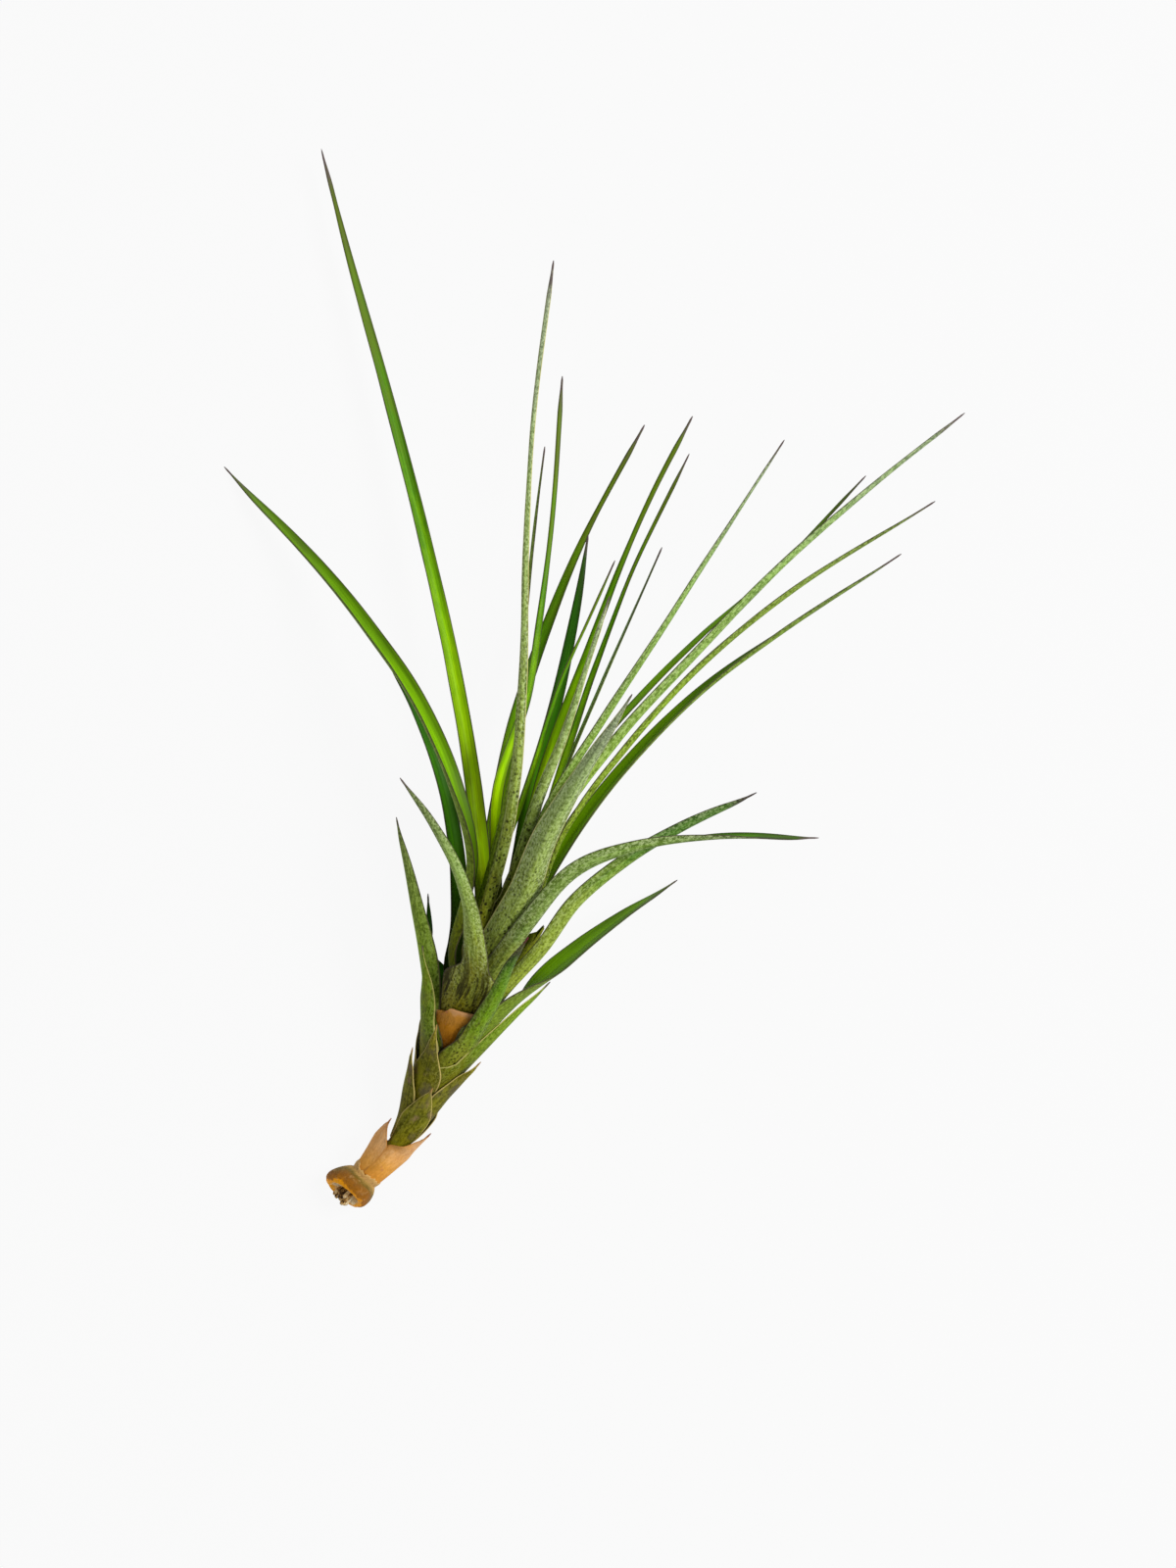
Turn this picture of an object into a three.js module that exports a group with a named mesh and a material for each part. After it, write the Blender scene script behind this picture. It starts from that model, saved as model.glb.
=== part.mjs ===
// An air plant as picked, lying on its side on a surface: a leafy stem with a dry, torn foot,
// short scale leaves round the stem, and a rosette of long channelled leaves.
// Millimetres, +Z up. X and Y are the plane that the plant lies in, and Y runs towards the tallest tip.
// The origin is on the surface, under the middle of the plant's outline.
import * as THREE from "three";

// Driving dimensions
const STEM_RADIUS_FOOT = 1.2;
const STEM_RADIUS_TOP = 1.0;
const LEAF_THICKNESS = 0.64;
const SEAT_GAP = 0.2; // clear space between a leaf's base and the stem
const FIRST_NODE = 12; // where the lowest green leaf leaves the stem, measured along it
const FIRST_INTERNODE = 1.65; // distance to the next leaf at the foot
const INTERNODE_SHRINK = 0.007; // the leaves crowd together towards the top
const DIVERGENCE = 137.5; // angle from each leaf to the next, degrees
const LATE_TAPER = 10; // power of the taper in blades that keep their width almost to the tip
const TIP_HALF_WIDTH = 0.35;
const TIP_POINT = 1.0; // length of the point beyond a leaf's last full section
const CHANNELLED_HALF_WIDTH = 1.9; // a blade narrower than this is flatter, and flat at its tip

const UP = new THREE.Vector3(0, 0, 1);
const radians = THREE.MathUtils.degToRad;
const { lerp, smoothstep } = THREE.MathUtils;
const point = ([x, y, z]) => new THREE.Vector3(x, y, z);
const onSurface = (z) => Math.max(0, z); // what would dip below the surface lies flat on it

const COLOURS = {
  green: 0x5d8a2c,
  silver_green: 0x86a46f,
  olive: 0x6f7430,
  dry: 0xc79a5b,
  orange: 0xb3702a,
  pith: 0xb9a98a,
  stem: 0x8a7a45,
};
const material = (name) =>
  new THREE.MeshStandardMaterial({ color: COLOURS[name], roughness: 0.6, metalness: 0 });

// The stem's own line, from the torn foot to the growing point
const stemLine = new THREE.CatmullRomCurve3(
  [
    [-51.3, -105.8, 4.5],
    [-47.0, -101.8, 4.75],
    [-42.8, -97.4, 5.2],
    [-38.4, -92.2, 6.0],
    [-33.6, -82.2, 7.9],
    [-29.4, -72.8, 10.6],
    [-24.4, -60.6, 14.2],
    [-20.4, -51.6, 17.8],
    [-15.6, -40.8, 21.4],
  ].map(point),
  false,
  "centripetal",
);
const STEM_LENGTH = stemLine.getLength();

const stemRadius = (station) => lerp(STEM_RADIUS_FOOT, STEM_RADIUS_TOP, station / STEM_LENGTH);

// Point and directions on the stem at a distance from its foot. Azimuth 0 faces up, 90 faces right.
function stemAt(station) {
  const share = THREE.MathUtils.clamp(station / STEM_LENGTH, 0, 1);
  const along = stemLine.getTangentAt(share);
  const centre = stemLine.getPointAt(share).addScaledVector(along, station - share * STEM_LENGTH);
  const right = new THREE.Vector3().crossVectors(along, UP).normalize();
  const above = new THREE.Vector3().crossVectors(right, along);
  return { centre, along, right, above };
}

function outward(station, azimuth) {
  const { right, above } = stemAt(station);
  return above.multiplyScalar(Math.cos(azimuth)).addScaledVector(right, Math.sin(azimuth));
}

const aboutStem = (station, azimuth, radius) =>
  stemAt(station).centre.addScaledVector(outward(station, radians(azimuth)), radius);

const nodeStation = (order) =>
  FIRST_NODE + FIRST_INTERNODE * order - INTERNODE_SHRINK * order * order;

// Leaves
// order: place in the spiral, which sets the azimuth and the height; turn and shift move it off these
// sheath: length of the clasping base; flare: how fast it leaves the stem; clasp: its half-angle
// lift: extra clear space under the base
// about: points that the midrib then runs through, as distance along the stem, azimuth and radius
// path: the points after those, to the tip
// width, taper: the blade's width at the sheath and how late it narrows; late: share of the width that
// is kept almost to the tip; end: share of it kept at a cut end
// roll: where the upper face looks at mid blade and at the tip, 0 up and 90 to the leaf's right
// channel: how far the margins turn up; keel: share of that turn that is in the midrib
const LEAVES = [
  {
    name: "dry_sheath_left", station: 5.4, azimuth: -52, colour: "dry",
    sheath: 12, flare: 0.12, clasp: 62, lift: 0.9,
    width: 5, taper: 1.6, channel: 50, roll: [120, 120],
    about: [[18.5, -53, 5]],
  },
  {
    name: "dry_sheath_right", station: 6.0, azimuth: 74, colour: "dry",
    sheath: 12, flare: 0.12, clasp: 60, lift: 1.2,
    width: 4.6, taper: 1.3, channel: 45, roll: [-105, -100],
    about: [[20.3, 51, 5.7]],
  },
  {
    name: "dry_sheath_under", station: 5.4, azimuth: 192, colour: "dry",
    sheath: 7, flare: 0.06, clasp: 34, lift: 0.9,
    width: 3.4, taper: 1.6, channel: 30, roll: [0, 0],
    about: [[14.5, 192, 3.7]],
  },
  {
    name: "leaf_01_scale_front", order: 0, turn: 6, colour: "olive",
    sheath: 10, flare: 0.26, clasp: 46,
    width: 6, taper: 1.6, channel: 44, roll: [180, 180],
    about: [[29.7, 9, 6.6]],
  },
  {
    name: "leaf_02_scale_back_right", order: 1, turn: 6, colour: "olive",
    sheath: 10, flare: 0.28, clasp: 44,
    width: 5.2, taper: 1.5, channel: 45, roll: [-42, -42],
    about: [[27.5, 143, 5.2]],
  },
  {
    name: "leaf_03_scale_left", order: 2, turn: 20, colour: "olive",
    sheath: 11, flare: 0.25, clasp: 50,
    width: 5.8, taper: 1.4, channel: 55, roll: [115, 118],
    about: [[35.9, -50, 7.8]],
  },
  {
    name: "leaf_04_scale_right", order: 3, turn: 14, colour: "olive",
    sheath: 12, flare: 0.275, clasp: 50,
    width: 7.0, taper: 1.3, channel: 55, roll: [-118, -118],
    about: [[38.6, 62, 8.6]],
  },
  {
    name: "leaf_05_scale_under", order: 4, turn: 4, colour: "olive",
    sheath: 11, flare: 0.265, clasp: 55,
    width: 6, taper: 1.4, channel: 55, roll: [10, 10],
    about: [[35.5, 194, 6.3]],
  },
  {
    name: "leaf_06_scale_tooth", order: 5, turn: 15, shift: 0.3, colour: "olive",
    sheath: 13, flare: 0.29, clasp: 44,
    width: 5, taper: 1, channel: 50, keel: 0.3, roll: [163, 163],
    about: [[43.6, -21, 9.2]],
  },
  {
    name: "leaf_07_scale_long_right", order: 6, turn: -21, shift: 1.1, colour: "silver_green",
    sheath: 13, flare: 0.32, clasp: 56,
    width: 8.4, taper: 1.5, channel: 28, roll: [-94, -98],
    about: [[44.5, 82, 8.8], [57.4, 107, 15]],
  },
  {
    name: "leaf_08_scale_back_left", order: 7, colour: "olive",
    sheath: 12, flare: 0.32, clasp: 54,
    width: 5.8, taper: 1.4, channel: 50, roll: [60, 60],
    about: [[41, -118, 8]],
  },
  {
    name: "leaf_09_short_hook", order: 8, turn: 15, shift: 0.95, colour: "green",
    sheath: 14, flare: 0.33, clasp: 34,
    width: 4.4, taper: 1.3, channel: 50, keel: 0.2, roll: [-155, -140],
    path: [[-20, -65, 27.6], [-16.6, -57.2, 35], [-13.4, -52.2, 41]],
  },
  {
    name: "leaf_10_scale_under_upper", order: 9, colour: "olive",
    sheath: 12, flare: 0.35, clasp: 56,
    width: 6, taper: 1.4, channel: 50, roll: [-23, -23],
    about: [[46, 157, 9.6]],
  },
  {
    name: "leaf_11_short_left_front", order: 10, turn: -6, colour: "silver_green",
    sheath: 13, flare: 0.37, clasp: 55,
    width: 7.4, taper: 1.2, channel: 50, roll: [128, 120],
    path: [[-34.6, -62.2, 18.2], [-34.9, -54.9, 21.6]],
  },
  {
    name: "leaf_12_side_right_low", order: 11, turn: 9, shift: 0.3, colour: "green",
    sheath: 19, flare: 0.375, clasp: 44,
    width: 7.6, taper: 2.2, channel: 32, keel: 0.3, roll: [-58, -60],
    path: [[-9.7, -61.4, 13.8], [-0.6, -53.8, 10.6], [9.1, -46.6, 5.8], [16.7, -41.5, 0.35]],
  },
  {
    name: "leaf_13_side_left_low", order: 12, turn: 50, shift: 0.5, colour: "green",
    sheath: 10, flare: 0.4, clasp: 39, late: 0.15,
    width: 4.8, taper: 3, channel: 55, roll: [125, 120],
    path: [[-34.8, -58, 16.4], [-37, -45.6, 17.8], [-40.2, -28.8, 18.6]],
  },
  {
    name: "leaf_14_dead_stub", order: 13, turn: 17, colour: "orange",
    sheath: 12, flare: 0.39, clasp: 38,
    width: 11.6, taper: 2, end: 0.82, channel: 28, roll: [180, 180],
    about: [[48.8, 0, 8.5]],
  },
  {
    name: "leaf_15_short_left_back", order: 15, turn: -50, colour: "green",
    sheath: 14, flare: 0.42, clasp: 42, late: 0.15,
    width: 3.2, taper: 1.4, channel: 55, roll: [30, 30],
    path: [[-34.2, -56.5, 9.8], [-33.9, -51, 9.2], [-34.1, -44.6, 8.6]],
  },
  {
    name: "leaf_16_side_right_high", order: 18, turn: 65, colour: "silver_green",
    sheath: 15, flare: 0.38, clasp: 34, late: 0.45,
    width: 6.4, taper: 0.6, channel: 55, keel: 0.3, roll: [-150, -50],
    path: [
      [-13.1, -49.5, 34], [-3.4, -38.8, 39.6], [8.8, -34.3, 41], [24, -32.2, 39.4],
      [44.6, -32.1, 33.6],
    ],
  },
  {
    name: "leaf_17_long_crossing", order: 17, colour: "green",
    sheath: 14, flare: 0.43, clasp: 46,
    width: 5, taper: 1.2, channel: 45, keel: 0.2, roll: [-5, -10],
    path: [[-20, -28, 10], [-16, -8, 10.4], [-9, 12.8, 11.4], [-1.8, 29.8, 12.4], [10, 51.7, 13.6]],
  },
  {
    name: "leaf_18_side_left_curved", order: 16, turn: -40, shift: -1.6, colour: "silver_green",
    sheath: 24, flare: 0.385, clasp: 42, late: 0.15,
    width: 6.4, taper: 0.8, channel: 55, keel: 0.2, roll: [150, 150],
    path: [
      [-25, -48.9, 33.4], [-26.2, -43.3, 38.2], [-28.3, -37, 42.4], [-33, -28, 47.4],
      [-38.2, -20.6, 52],
    ],
  },
  {
    name: "leaf_19_side_right_mid", order: 14, shift: 3.4, turn: -70, colour: "silver_green",
    sheath: 15, flare: 0.38, clasp: 35, late: 0.6,
    width: 5.8, taper: 0.6, channel: 50, keel: 0.3, roll: [-140, -125],
    path: [
      [-10.2, -55.1, 28.4], [-3.3, -45.4, 32.2], [7.1, -36.8, 33.6], [17.5, -30.6, 33],
      [32.2, -23.3, 31],
    ],
  },
  {
    name: "leaf_20_long_left_back", order: 20, colour: "green",
    sheath: 13, flare: 0.45, clasp: 44,
    width: 5.4, taper: 1.6, channel: 50, roll: [35, 40],
    path: [[-28.4, -38, 14.6], [-31, -22, 15.4], [-36.4, -7, 15], [-42.5, 4.4, 13.6]],
  },
  {
    name: "leaf_21_big_front", order: 21, shift: 0.6, colour: "silver_green",
    sheath: 13, flare: 0.415, clasp: 38,
    width: 9.4, taper: 1.6, channel: 48, keel: 0.75, roll: [-172, -162],
    path: [
      [-14.6, -44.6, 35.2], [-9.2, -31.2, 48], [-2, -18.8, 60.4], [3.4, -10.2, 70], [7.1, -4.2, 76.8],
    ],
  },
  {
    name: "leaf_22_long_right_low", order: 22, colour: "green",
    sheath: 12, flare: 0.45, clasp: 40, late: 0.45,
    width: 5.8, taper: 0.8, channel: 50, keel: 0.3, roll: [-55, -110],
    path: [[-7.4, -37.4, 12.6], [4.7, -20.5, 12.4], [21, -3.6, 11.6], [37, 8.6, 10.4], [62.6, 25.7, 8]],
  },
  {
    name: "leaf_23_long_left_arching", order: 23, colour: "green",
    sheath: 12, flare: 0.45, clasp: 44, late: 0.15,
    width: 5.8, taper: 4, channel: 55, keel: 0.4, roll: [55, 45],
    path: [
      [-25.6, -37, 26.6], [-29.4, -21, 27], [-36.9, -4.3, 22.6], [-46.2, 9.4, 15.4], [-56, 21.9, 8.2],
      [-76, 43.9, 0.25],
    ],
  },
  {
    name: "leaf_24_cut_stub", order: 19, turn: -18, shift: 0.5, colour: "green",
    sheath: 12, flare: 0.36, clasp: 24,
    width: 5.4, taper: 2, end: 0.8, channel: 40, roll: [-140, -140],
    path: [[-10.8, -49.6, 25.2]],
  },
  {
    name: "leaf_25_tallest", order: 25, colour: "green",
    sheath: 12, flare: 0.44, clasp: 40, late: 0.3,
    width: 5, taper: 0.7, channel: 45, keel: 0.2, roll: [12, 25],
    path: [
      [-24.6, -23.9, 13.6], [-28.9, 2.2, 10.8], [-34.5, 27.5, 8.4], [-42.3, 57.9, 6.6],
      [-49.5, 83.8, 5.4], [-51.9, 92.9, 5.4], [-54.2, 101.9, 5], [-56.1, 109.1, 5.2],
    ],
  },
  {
    name: "leaf_26_long_centre", order: 26, colour: "silver_green",
    sheath: 12, flare: 0.405, clasp: 29,
    width: 4.6, taper: 0.6, channel: 55, keel: 0.5, roll: [160, 160],
    path: [
      [-17, -27, 35.4], [-14.4, -1.2, 41.6], [-13.6, 26.8, 44.2], [-12.1, 52.2, 45.4],
      [-8.2, 82.7, 46],
    ],
  },
  {
    name: "leaf_27_long_right_third", order: 27, colour: "silver_green",
    sheath: 12, flare: 0.41, clasp: 42, late: 0.6,
    width: 3.8, taper: 1.2, channel: 50, keel: 0.3, roll: [-100, -110],
    path: [
      [-6, -31.6, 21], [7.1, -13.7, 21.4], [22.5, 3.1, 21.2], [41.6, 18.7, 20.6], [69, 36.1, 18.8],
    ],
  },
  {
    name: "leaf_28_centre_left", order: 33, colour: "green",
    sheath: 11, flare: 0.34, clasp: 42,
    width: 4.4, taper: 0.6, channel: 50, keel: 0.2, roll: [25, 15],
    path: [
      [-19.6, -22, 24.8], [-13.6, -3.2, 23.4], [-11, 12.8, 22], [-8.5, 32.8, 20.2], [-6.5, 61.3, 18],
    ],
  },
  {
    name: "leaf_29_long_right_top", order: 29, colour: "silver_green",
    sheath: 12, flare: 0.375, clasp: 37, late: 0.15,
    width: 6, taper: 0.6, channel: 50, keel: 0.4, roll: [-130, -140],
    path: [
      [-9.6, -32.6, 36], [5, -12.4, 39], [20.4, 4.6, 40.6], [36.2, 21.2, 41.6], [55.7, 38.5, 42.4],
      [73.7, 52.7, 42.8],
    ],
  },
  {
    name: "leaf_30_dark_back", order: 30, colour: "green",
    sheath: 11, flare: 0.38, clasp: 36, late: 0.3,
    width: 4.2, taper: 1.2, channel: 45, roll: [0, 0],
    path: [[-12.4, -22, 17.4], [-7.4, -3.2, 17], [-3.3, 16.3, 17], [-1.3, 28.9, 17]],
  },
  {
    name: "leaf_31_thin_centre", order: 31, colour: "silver_green",
    sheath: 10, flare: 0.37, clasp: 42, late: 0.6,
    width: 2.2, taper: 3.4, channel: 60, keel: 0.4, roll: [110, 110],
    path: [[-16.6, -18, 33.6], [-14.4, 8, 36.8], [-12.2, 28.8, 37.8], [-10, 45.9, 38]],
  },
  {
    name: "leaf_32_right_crossing", order: 32, colour: "green",
    sheath: 10, flare: 0.35, clasp: 36,
    width: 2.8, taper: 1.6, channel: 45, roll: [-50, -50],
    path: [
      [-3.6, -20, 25.6], [9.2, -3.8, 28], [22.2, 9.2, 29.8], [36.2, 21.4, 31.2], [54.4, 40.5, 32.8],
    ],
  },
  {
    name: "leaf_33_centre_dark_tall", order: 38, shift: 0.6, colour: "green",
    sheath: 10, flare: 0.28, clasp: 30,
    width: 3.4, taper: 1, channel: 50, keel: 0.2, roll: [-10, -10],
    path: [[-9.2, -16, 22.6], [-1.5, 4.8, 25], [5.6, 23.5, 27], [12, 38, 28], [19.6, 52.6, 29]],
  },
  {
    name: "leaf_34_centre_ridged", order: 37, turn: -50, colour: "silver_green",
    sheath: 9, flare: 0.29, clasp: 42,
    width: 3.2, taper: 1.4, channel: 55, keel: 0.5, roll: [170, 170],
    path: [[-11.8, -25.6, 32.6], [-6, -11.2, 36.4], [-1.6, 2, 39.4], [2.9, 15.8, 42]],
  },
  {
    name: "leaf_35_centre_right_tall", order: 35, colour: "green",
    sheath: 9, flare: 0.32, clasp: 20,
    width: 2.8, taper: 1.2, channel: 50, keel: 0.2, roll: [-40, -40],
    path: [[-7.4, -21.2, 21.6], [0.2, 2.1, 23], [8.2, 22.9, 25], [19, 45.1, 27]],
  },
  {
    name: "leaf_36_centre_gold", order: 36, colour: "green",
    sheath: 9, flare: 0.31, clasp: 42,
    width: 2.8, taper: 1.6, channel: 55, keel: 0.3, roll: [60, 60],
    path: [[-13.4, -20.4, 28.8], [-6.8, -0.6, 32], [-1.3, 11.5, 34], [3.9, 23.1, 36]],
  },
  {
    name: "leaf_37_right_upper", order: 34, turn: 22, colour: "silver_green",
    sheath: 11, flare: 0.33, clasp: 36, late: 0.15,
    width: 3.2, taper: 2.2, channel: 50, keel: 0.3, roll: [-120, -120],
    path: [[-8.4, -25.6, 33.6], [2.4, -8, 38], [12.9, 8.2, 42.6], [25.2, 27.7, 47], [37.5, 46.7, 50.6]],
  },
  {
    name: "leaf_38_thin_right", order: 40, colour: "silver_green",
    sheath: 8, flare: 0.26, clasp: 44, late: 0.6,
    width: 2.2, taper: 4, channel: 55, keel: 0.3, roll: [-80, -80],
    path: [[-7, -22, 27], [1.6, -1.1, 30.4], [8.1, 13.8, 32.4], [13.4, 25.8, 34.4]],
  },
];

const SHEATH_POINTS = 3;
const LONG_LEAF = 60; // longer leaves get more sections
const SECTION_SAMPLES = 48; // steps in which a section's turn is summed from midrib to margin
const KEEL_REACH = 0.15; // share of the half-width over which a keel turns

// The midrib's line, with the facts of the clasping base that the sections need
function midrib(leaf) {
  const station = leaf.station ?? nodeStation(leaf.order) + (leaf.shift ?? 0);
  const azimuth = radians(leaf.azimuth ?? leaf.order * DIVERGENCE + (leaf.turn ?? 0));
  const seat = stemRadius(station) + SEAT_GAP + LEAF_THICKNESS / 2 + (leaf.lift ?? 0);
  const points = [];
  for (let i = 0; i < SHEATH_POINTS; i++) {
    const rise = (leaf.sheath * i) / (SHEATH_POINTS - 1);
    const direction = outward(station + rise, azimuth);
    points.push(stemAt(station + rise).centre.addScaledVector(direction, seat + leaf.flare * rise));
  }
  for (const place of leaf.about ?? []) points.push(aboutStem(...place));
  for (const place of leaf.path ?? []) points.push(point(place));
  const line = new THREE.CatmullRomCurve3(points, false, "centripetal");
  const reach = seat + leaf.flare * leaf.sheath;
  return { line, length: line.getLength(), station, azimuth, reach };
}

// Across a section plane: the direction that the upper face looks in at a roll from straight up
function rolled(normal, roll) {
  const right = new THREE.Vector3().crossVectors(normal, UP).normalize();
  const top = new THREE.Vector3().crossVectors(right, normal);
  const face = top.multiplyScalar(Math.cos(roll)).addScaledVector(right, Math.sin(roll));
  const side = new THREE.Vector3().crossVectors(normal, face);
  return { face, side };
}

const nearestTurn = (angle, reference) =>
  angle - 2 * Math.PI * Math.round((angle - reference) / (2 * Math.PI));

// Roll along the leaf: facing the stem over the sheath, then eased through the two given values
function rollKeys(leaf, rib) {
  const held = rib.azimuth + Math.PI;
  const middle = nearestTurn(radians(leaf.roll[0]), held);
  const tip = nearestTurn(radians(leaf.roll[1]), middle);
  const sheathShare = Math.min(0.7, leaf.sheath / rib.length);
  return [[0, held], [sheathShare, held], [lerp(sheathShare, 1, 0.4), middle], [1, tip]];
}

function eased(keys, share) {
  const after = Math.max(1, keys.findIndex(([at]) => at >= share));
  const [from, a] = keys[after - 1];
  const [to, b] = keys[after];
  return lerp(a, b, smoothstep(share, from, to));
}

// Offsets across a section, midrib at the origin: x to the side, y towards the upper face
function sectionPoints(halfWidth, marginTurn, keel, segments) {
  const half = [[0, 0, 0]];
  let x = 0;
  let y = 0;
  const step = 1 / SECTION_SAMPLES;
  const perSegment = (SECTION_SAMPLES * 2) / segments;
  for (let i = 1; i <= SECTION_SAMPLES; i++) {
    const q = (i - 0.5) * step;
    const turn = marginTurn * (keel * Math.min(1, q / KEEL_REACH) + (1 - keel) * q);
    x += halfWidth * step * Math.cos(turn);
    y += halfWidth * step * Math.sin(turn);
    if (i % perSegment === 0) {
      const q1 = i * step;
      half.push([x, y, marginTurn * (keel * Math.min(1, q1 / KEEL_REACH) + (1 - keel) * q1)]);
    }
  }
  const mirrored = half.slice(1).map(([px, py, turn]) => [-px, py, -turn]).reverse();
  return [...mirrored, ...half];
}

// Plane, width and bend of a section. The sheath's sections are square to the stem and centred on it,
// so that bases nest like cones; the blade's are square to the midrib and have the channel's bend.
function sectionAt(leaf, rib, share) {
  const rise = (share * rib.length) / Math.hypot(1, leaf.flare);
  const { centre, along } = stemAt(rib.station + rise);
  const middle = rib.line.getPointAt(share);
  const radius = Math.min(middle.distanceTo(centre), rib.reach);
  const sheathShare = Math.min(0.7, leaf.sheath / rib.length);
  const leaving = smoothstep(share, sheathShare * 0.6, sheathShare * 1.4);
  const free = smoothstep(share, sheathShare, sheathShare * 1.8);
  const normal = along.lerp(rib.line.getTangentAt(share), free).normalize();
  const beyond = THREE.MathUtils.clamp((share - sheathShare) / (1 - sheathShare), 0, 1);
  const end = leaf.end ?? 0;
  const shape = lerp(1 - beyond ** leaf.taper, 1 - beyond ** LATE_TAPER, leaf.late ?? 0);
  const narrowed = end + (1 - end) * shape;
  const blade = Math.max(TIP_HALF_WIDTH, (leaf.width / 2) * narrowed);
  const halfWidth = lerp(radians(leaf.clasp) * radius, blade, leaving);
  const channel = radians(leaf.channel) * smoothstep(halfWidth, TIP_HALF_WIDTH, CHANNELLED_HALF_WIDTH);
  return {
    middle,
    normal,
    halfWidth,
    marginTurn: lerp(halfWidth / radius, channel, free),
    keel: (leaf.keel ?? 0) * free,
    thickness: LEAF_THICKNESS * lerp(Math.hypot(1, leaf.flare), 1, free),
  };
}

// Closed blade: rings of an upper and a lower face, both split into triangles alike
function leafGeometry(leaf) {
  const rib = midrib(leaf);
  const segments = leaf.clasp > 60 ? 8 : leaf.clasp > 48 ? 6 : 4;
  const sections = rib.length > LONG_LEAF ? 15 : rib.length > 30 ? 10 : 7;
  const keys = rollKeys(leaf, rib);
  const positions = [];
  const across = segments + 1;
  for (let i = 0; i <= sections; i++) {
    const share = i / sections;
    const { middle, normal, halfWidth, marginTurn, keel, thickness } = sectionAt(leaf, rib, share);
    const { face, side } = rolled(normal, eased(keys, share));
    const outline = sectionPoints(halfWidth, marginTurn, keel, segments);
    for (const half of [thickness / 2, -thickness / 2])
      for (const [x, y, turn] of outline) {
        const p = middle.clone()
          .addScaledVector(side, x - half * Math.sin(turn))
          .addScaledVector(face, y + half * Math.cos(turn));
        positions.push(p.x, p.y, onSurface(p.z));
      }
  }
  const index = [];
  const quad = (a, b, c, d) => index.push(a, b, c, a, c, d);
  const ring = across * 2;
  for (let i = 0; i < sections; i++) {
    const here = i * ring;
    const next = here + ring;
    for (let j = 0; j < segments; j++) {
      quad(here + j, here + j + 1, next + j + 1, next + j);
      const low = across + j;
      index.push(here + low, next + low + 1, here + low + 1, here + low, next + low, next + low + 1);
    }
    quad(here + across, here, next, next + across);
    quad(here + segments, here + ring - 1, next + ring - 1, next + segments);
  }
  for (let j = 0; j < segments; j++) quad(j, across + j, across + j + 1, j + 1);
  const last = sections * ring;
  if (leaf.end) {
    for (let j = 0; j < segments; j++) {
      const low = last + across + j;
      quad(last + j + 1, low + 1, low, last + j);
    }
  } else {
    const tip = rib.line.getPointAt(1).addScaledVector(rib.line.getTangentAt(1), TIP_POINT);
    const apex = positions.length / 3;
    positions.push(tip.x, tip.y, onSurface(tip.z));
    const rim = [];
    for (let j = 0; j < across; j++) rim.push(last + j);
    for (let j = across - 1; j >= 0; j--) rim.push(last + across + j);
    rim.forEach((a, j) => index.push(a, rim[(j + 1) % rim.length], apex));
  }
  return new THREE.BufferGeometry()
    .setAttribute("position", new THREE.Float32BufferAttribute(positions, 3))
    .setIndex(index);
}

// A closed tube of rings about the stem: one ring of points per row of a profile.
// The profile runs round the wall's section, as distance along the stem and radius.
function turnedWall(profile, sides, place) {
  const positions = [];
  for (const row of profile)
    for (let i = 0; i < sides; i++) {
      const p = place(row, (i / sides) * 2 * Math.PI);
      positions.push(p.x, p.y, onSurface(p.z));
    }
  const index = [];
  profile.forEach((_, r) => {
    const here = r * sides;
    const next = ((r + 1) % profile.length) * sides;
    for (let i = 0; i < sides; i++) {
      const j = (i + 1) % sides;
      index.push(here + i, next + j, here + j, here + i, next + i, next + j);
    }
  });
  return { positions, index };
}

// A solid rod along the stem with its two ends closed
function rod(stations, sides, radiusAt) {
  const positions = [];
  for (const station of stations)
    for (let i = 0; i < sides; i++) {
      const angle = (i / sides) * 2 * Math.PI;
      const p = stemAt(station).centre.addScaledVector(outward(station, angle), radiusAt(station, angle));
      positions.push(p.x, p.y, p.z);
    }
  const index = [];
  for (let r = 0; r + 1 < stations.length; r++)
    for (let i = 0; i < sides; i++) {
      const j = (i + 1) % sides;
      const [a, b] = [r * sides, (r + 1) * sides];
      index.push(a + i, a + j, b + j, a + i, b + j, b + i);
    }
  for (const [row, turned] of [[0, true], [stations.length - 1, false]]) {
    const middle = positions.length / 3;
    const { centre } = stemAt(stations[row]);
    positions.push(centre.x, centre.y, centre.z);
    for (let i = 0; i < sides; i++) {
      const [a, b] = [row * sides + i, row * sides + ((i + 1) % sides)];
      index.push(...(turned ? [b, a, middle] : [a, b, middle]));
    }
  }
  return { positions, index };
}

function closed({ positions, index }) {
  return new THREE.BufferGeometry()
    .setAttribute("position", new THREE.Float32BufferAttribute(positions, 3))
    .setIndex(index);
}

// The foot's collar: a dry sleeve whose end has curled out and over. It is torn off at a slant.
const COLLAR_SLANT = 0.45;
const COLLAR_WAVE = 0.3;
const COLLAR_PROFILE = [
  [6.6, 1.95], [5.0, 2.0], [4.3, 2.8], [3.7, 3.9], [3.0, 4.6], [2.1, 4.9], [1.2, 4.75],
  [0.5, 4.25], [0.25, 3.65], [0.55, 3.2], [1.2, 2.9], [2.4, 2.45], [3.6, 1.8], [6.6, 1.5],
];
function collarPoint([station, radius], angle) {
  const flared = THREE.MathUtils.clamp((radius - 2.9) / 2, 0, 1) * (station < 5 ? 1 : 0);
  const open = smoothstep(5.3 - station, 0, 3);
  const wave = COLLAR_WAVE * flared * Math.sin(3 * angle + 0.8);
  const slid = station + COLLAR_SLANT * radius * Math.cos(angle) * open;
  return stemAt(slid).centre.addScaledVector(outward(slid, angle), radius + wave);
}

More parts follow.
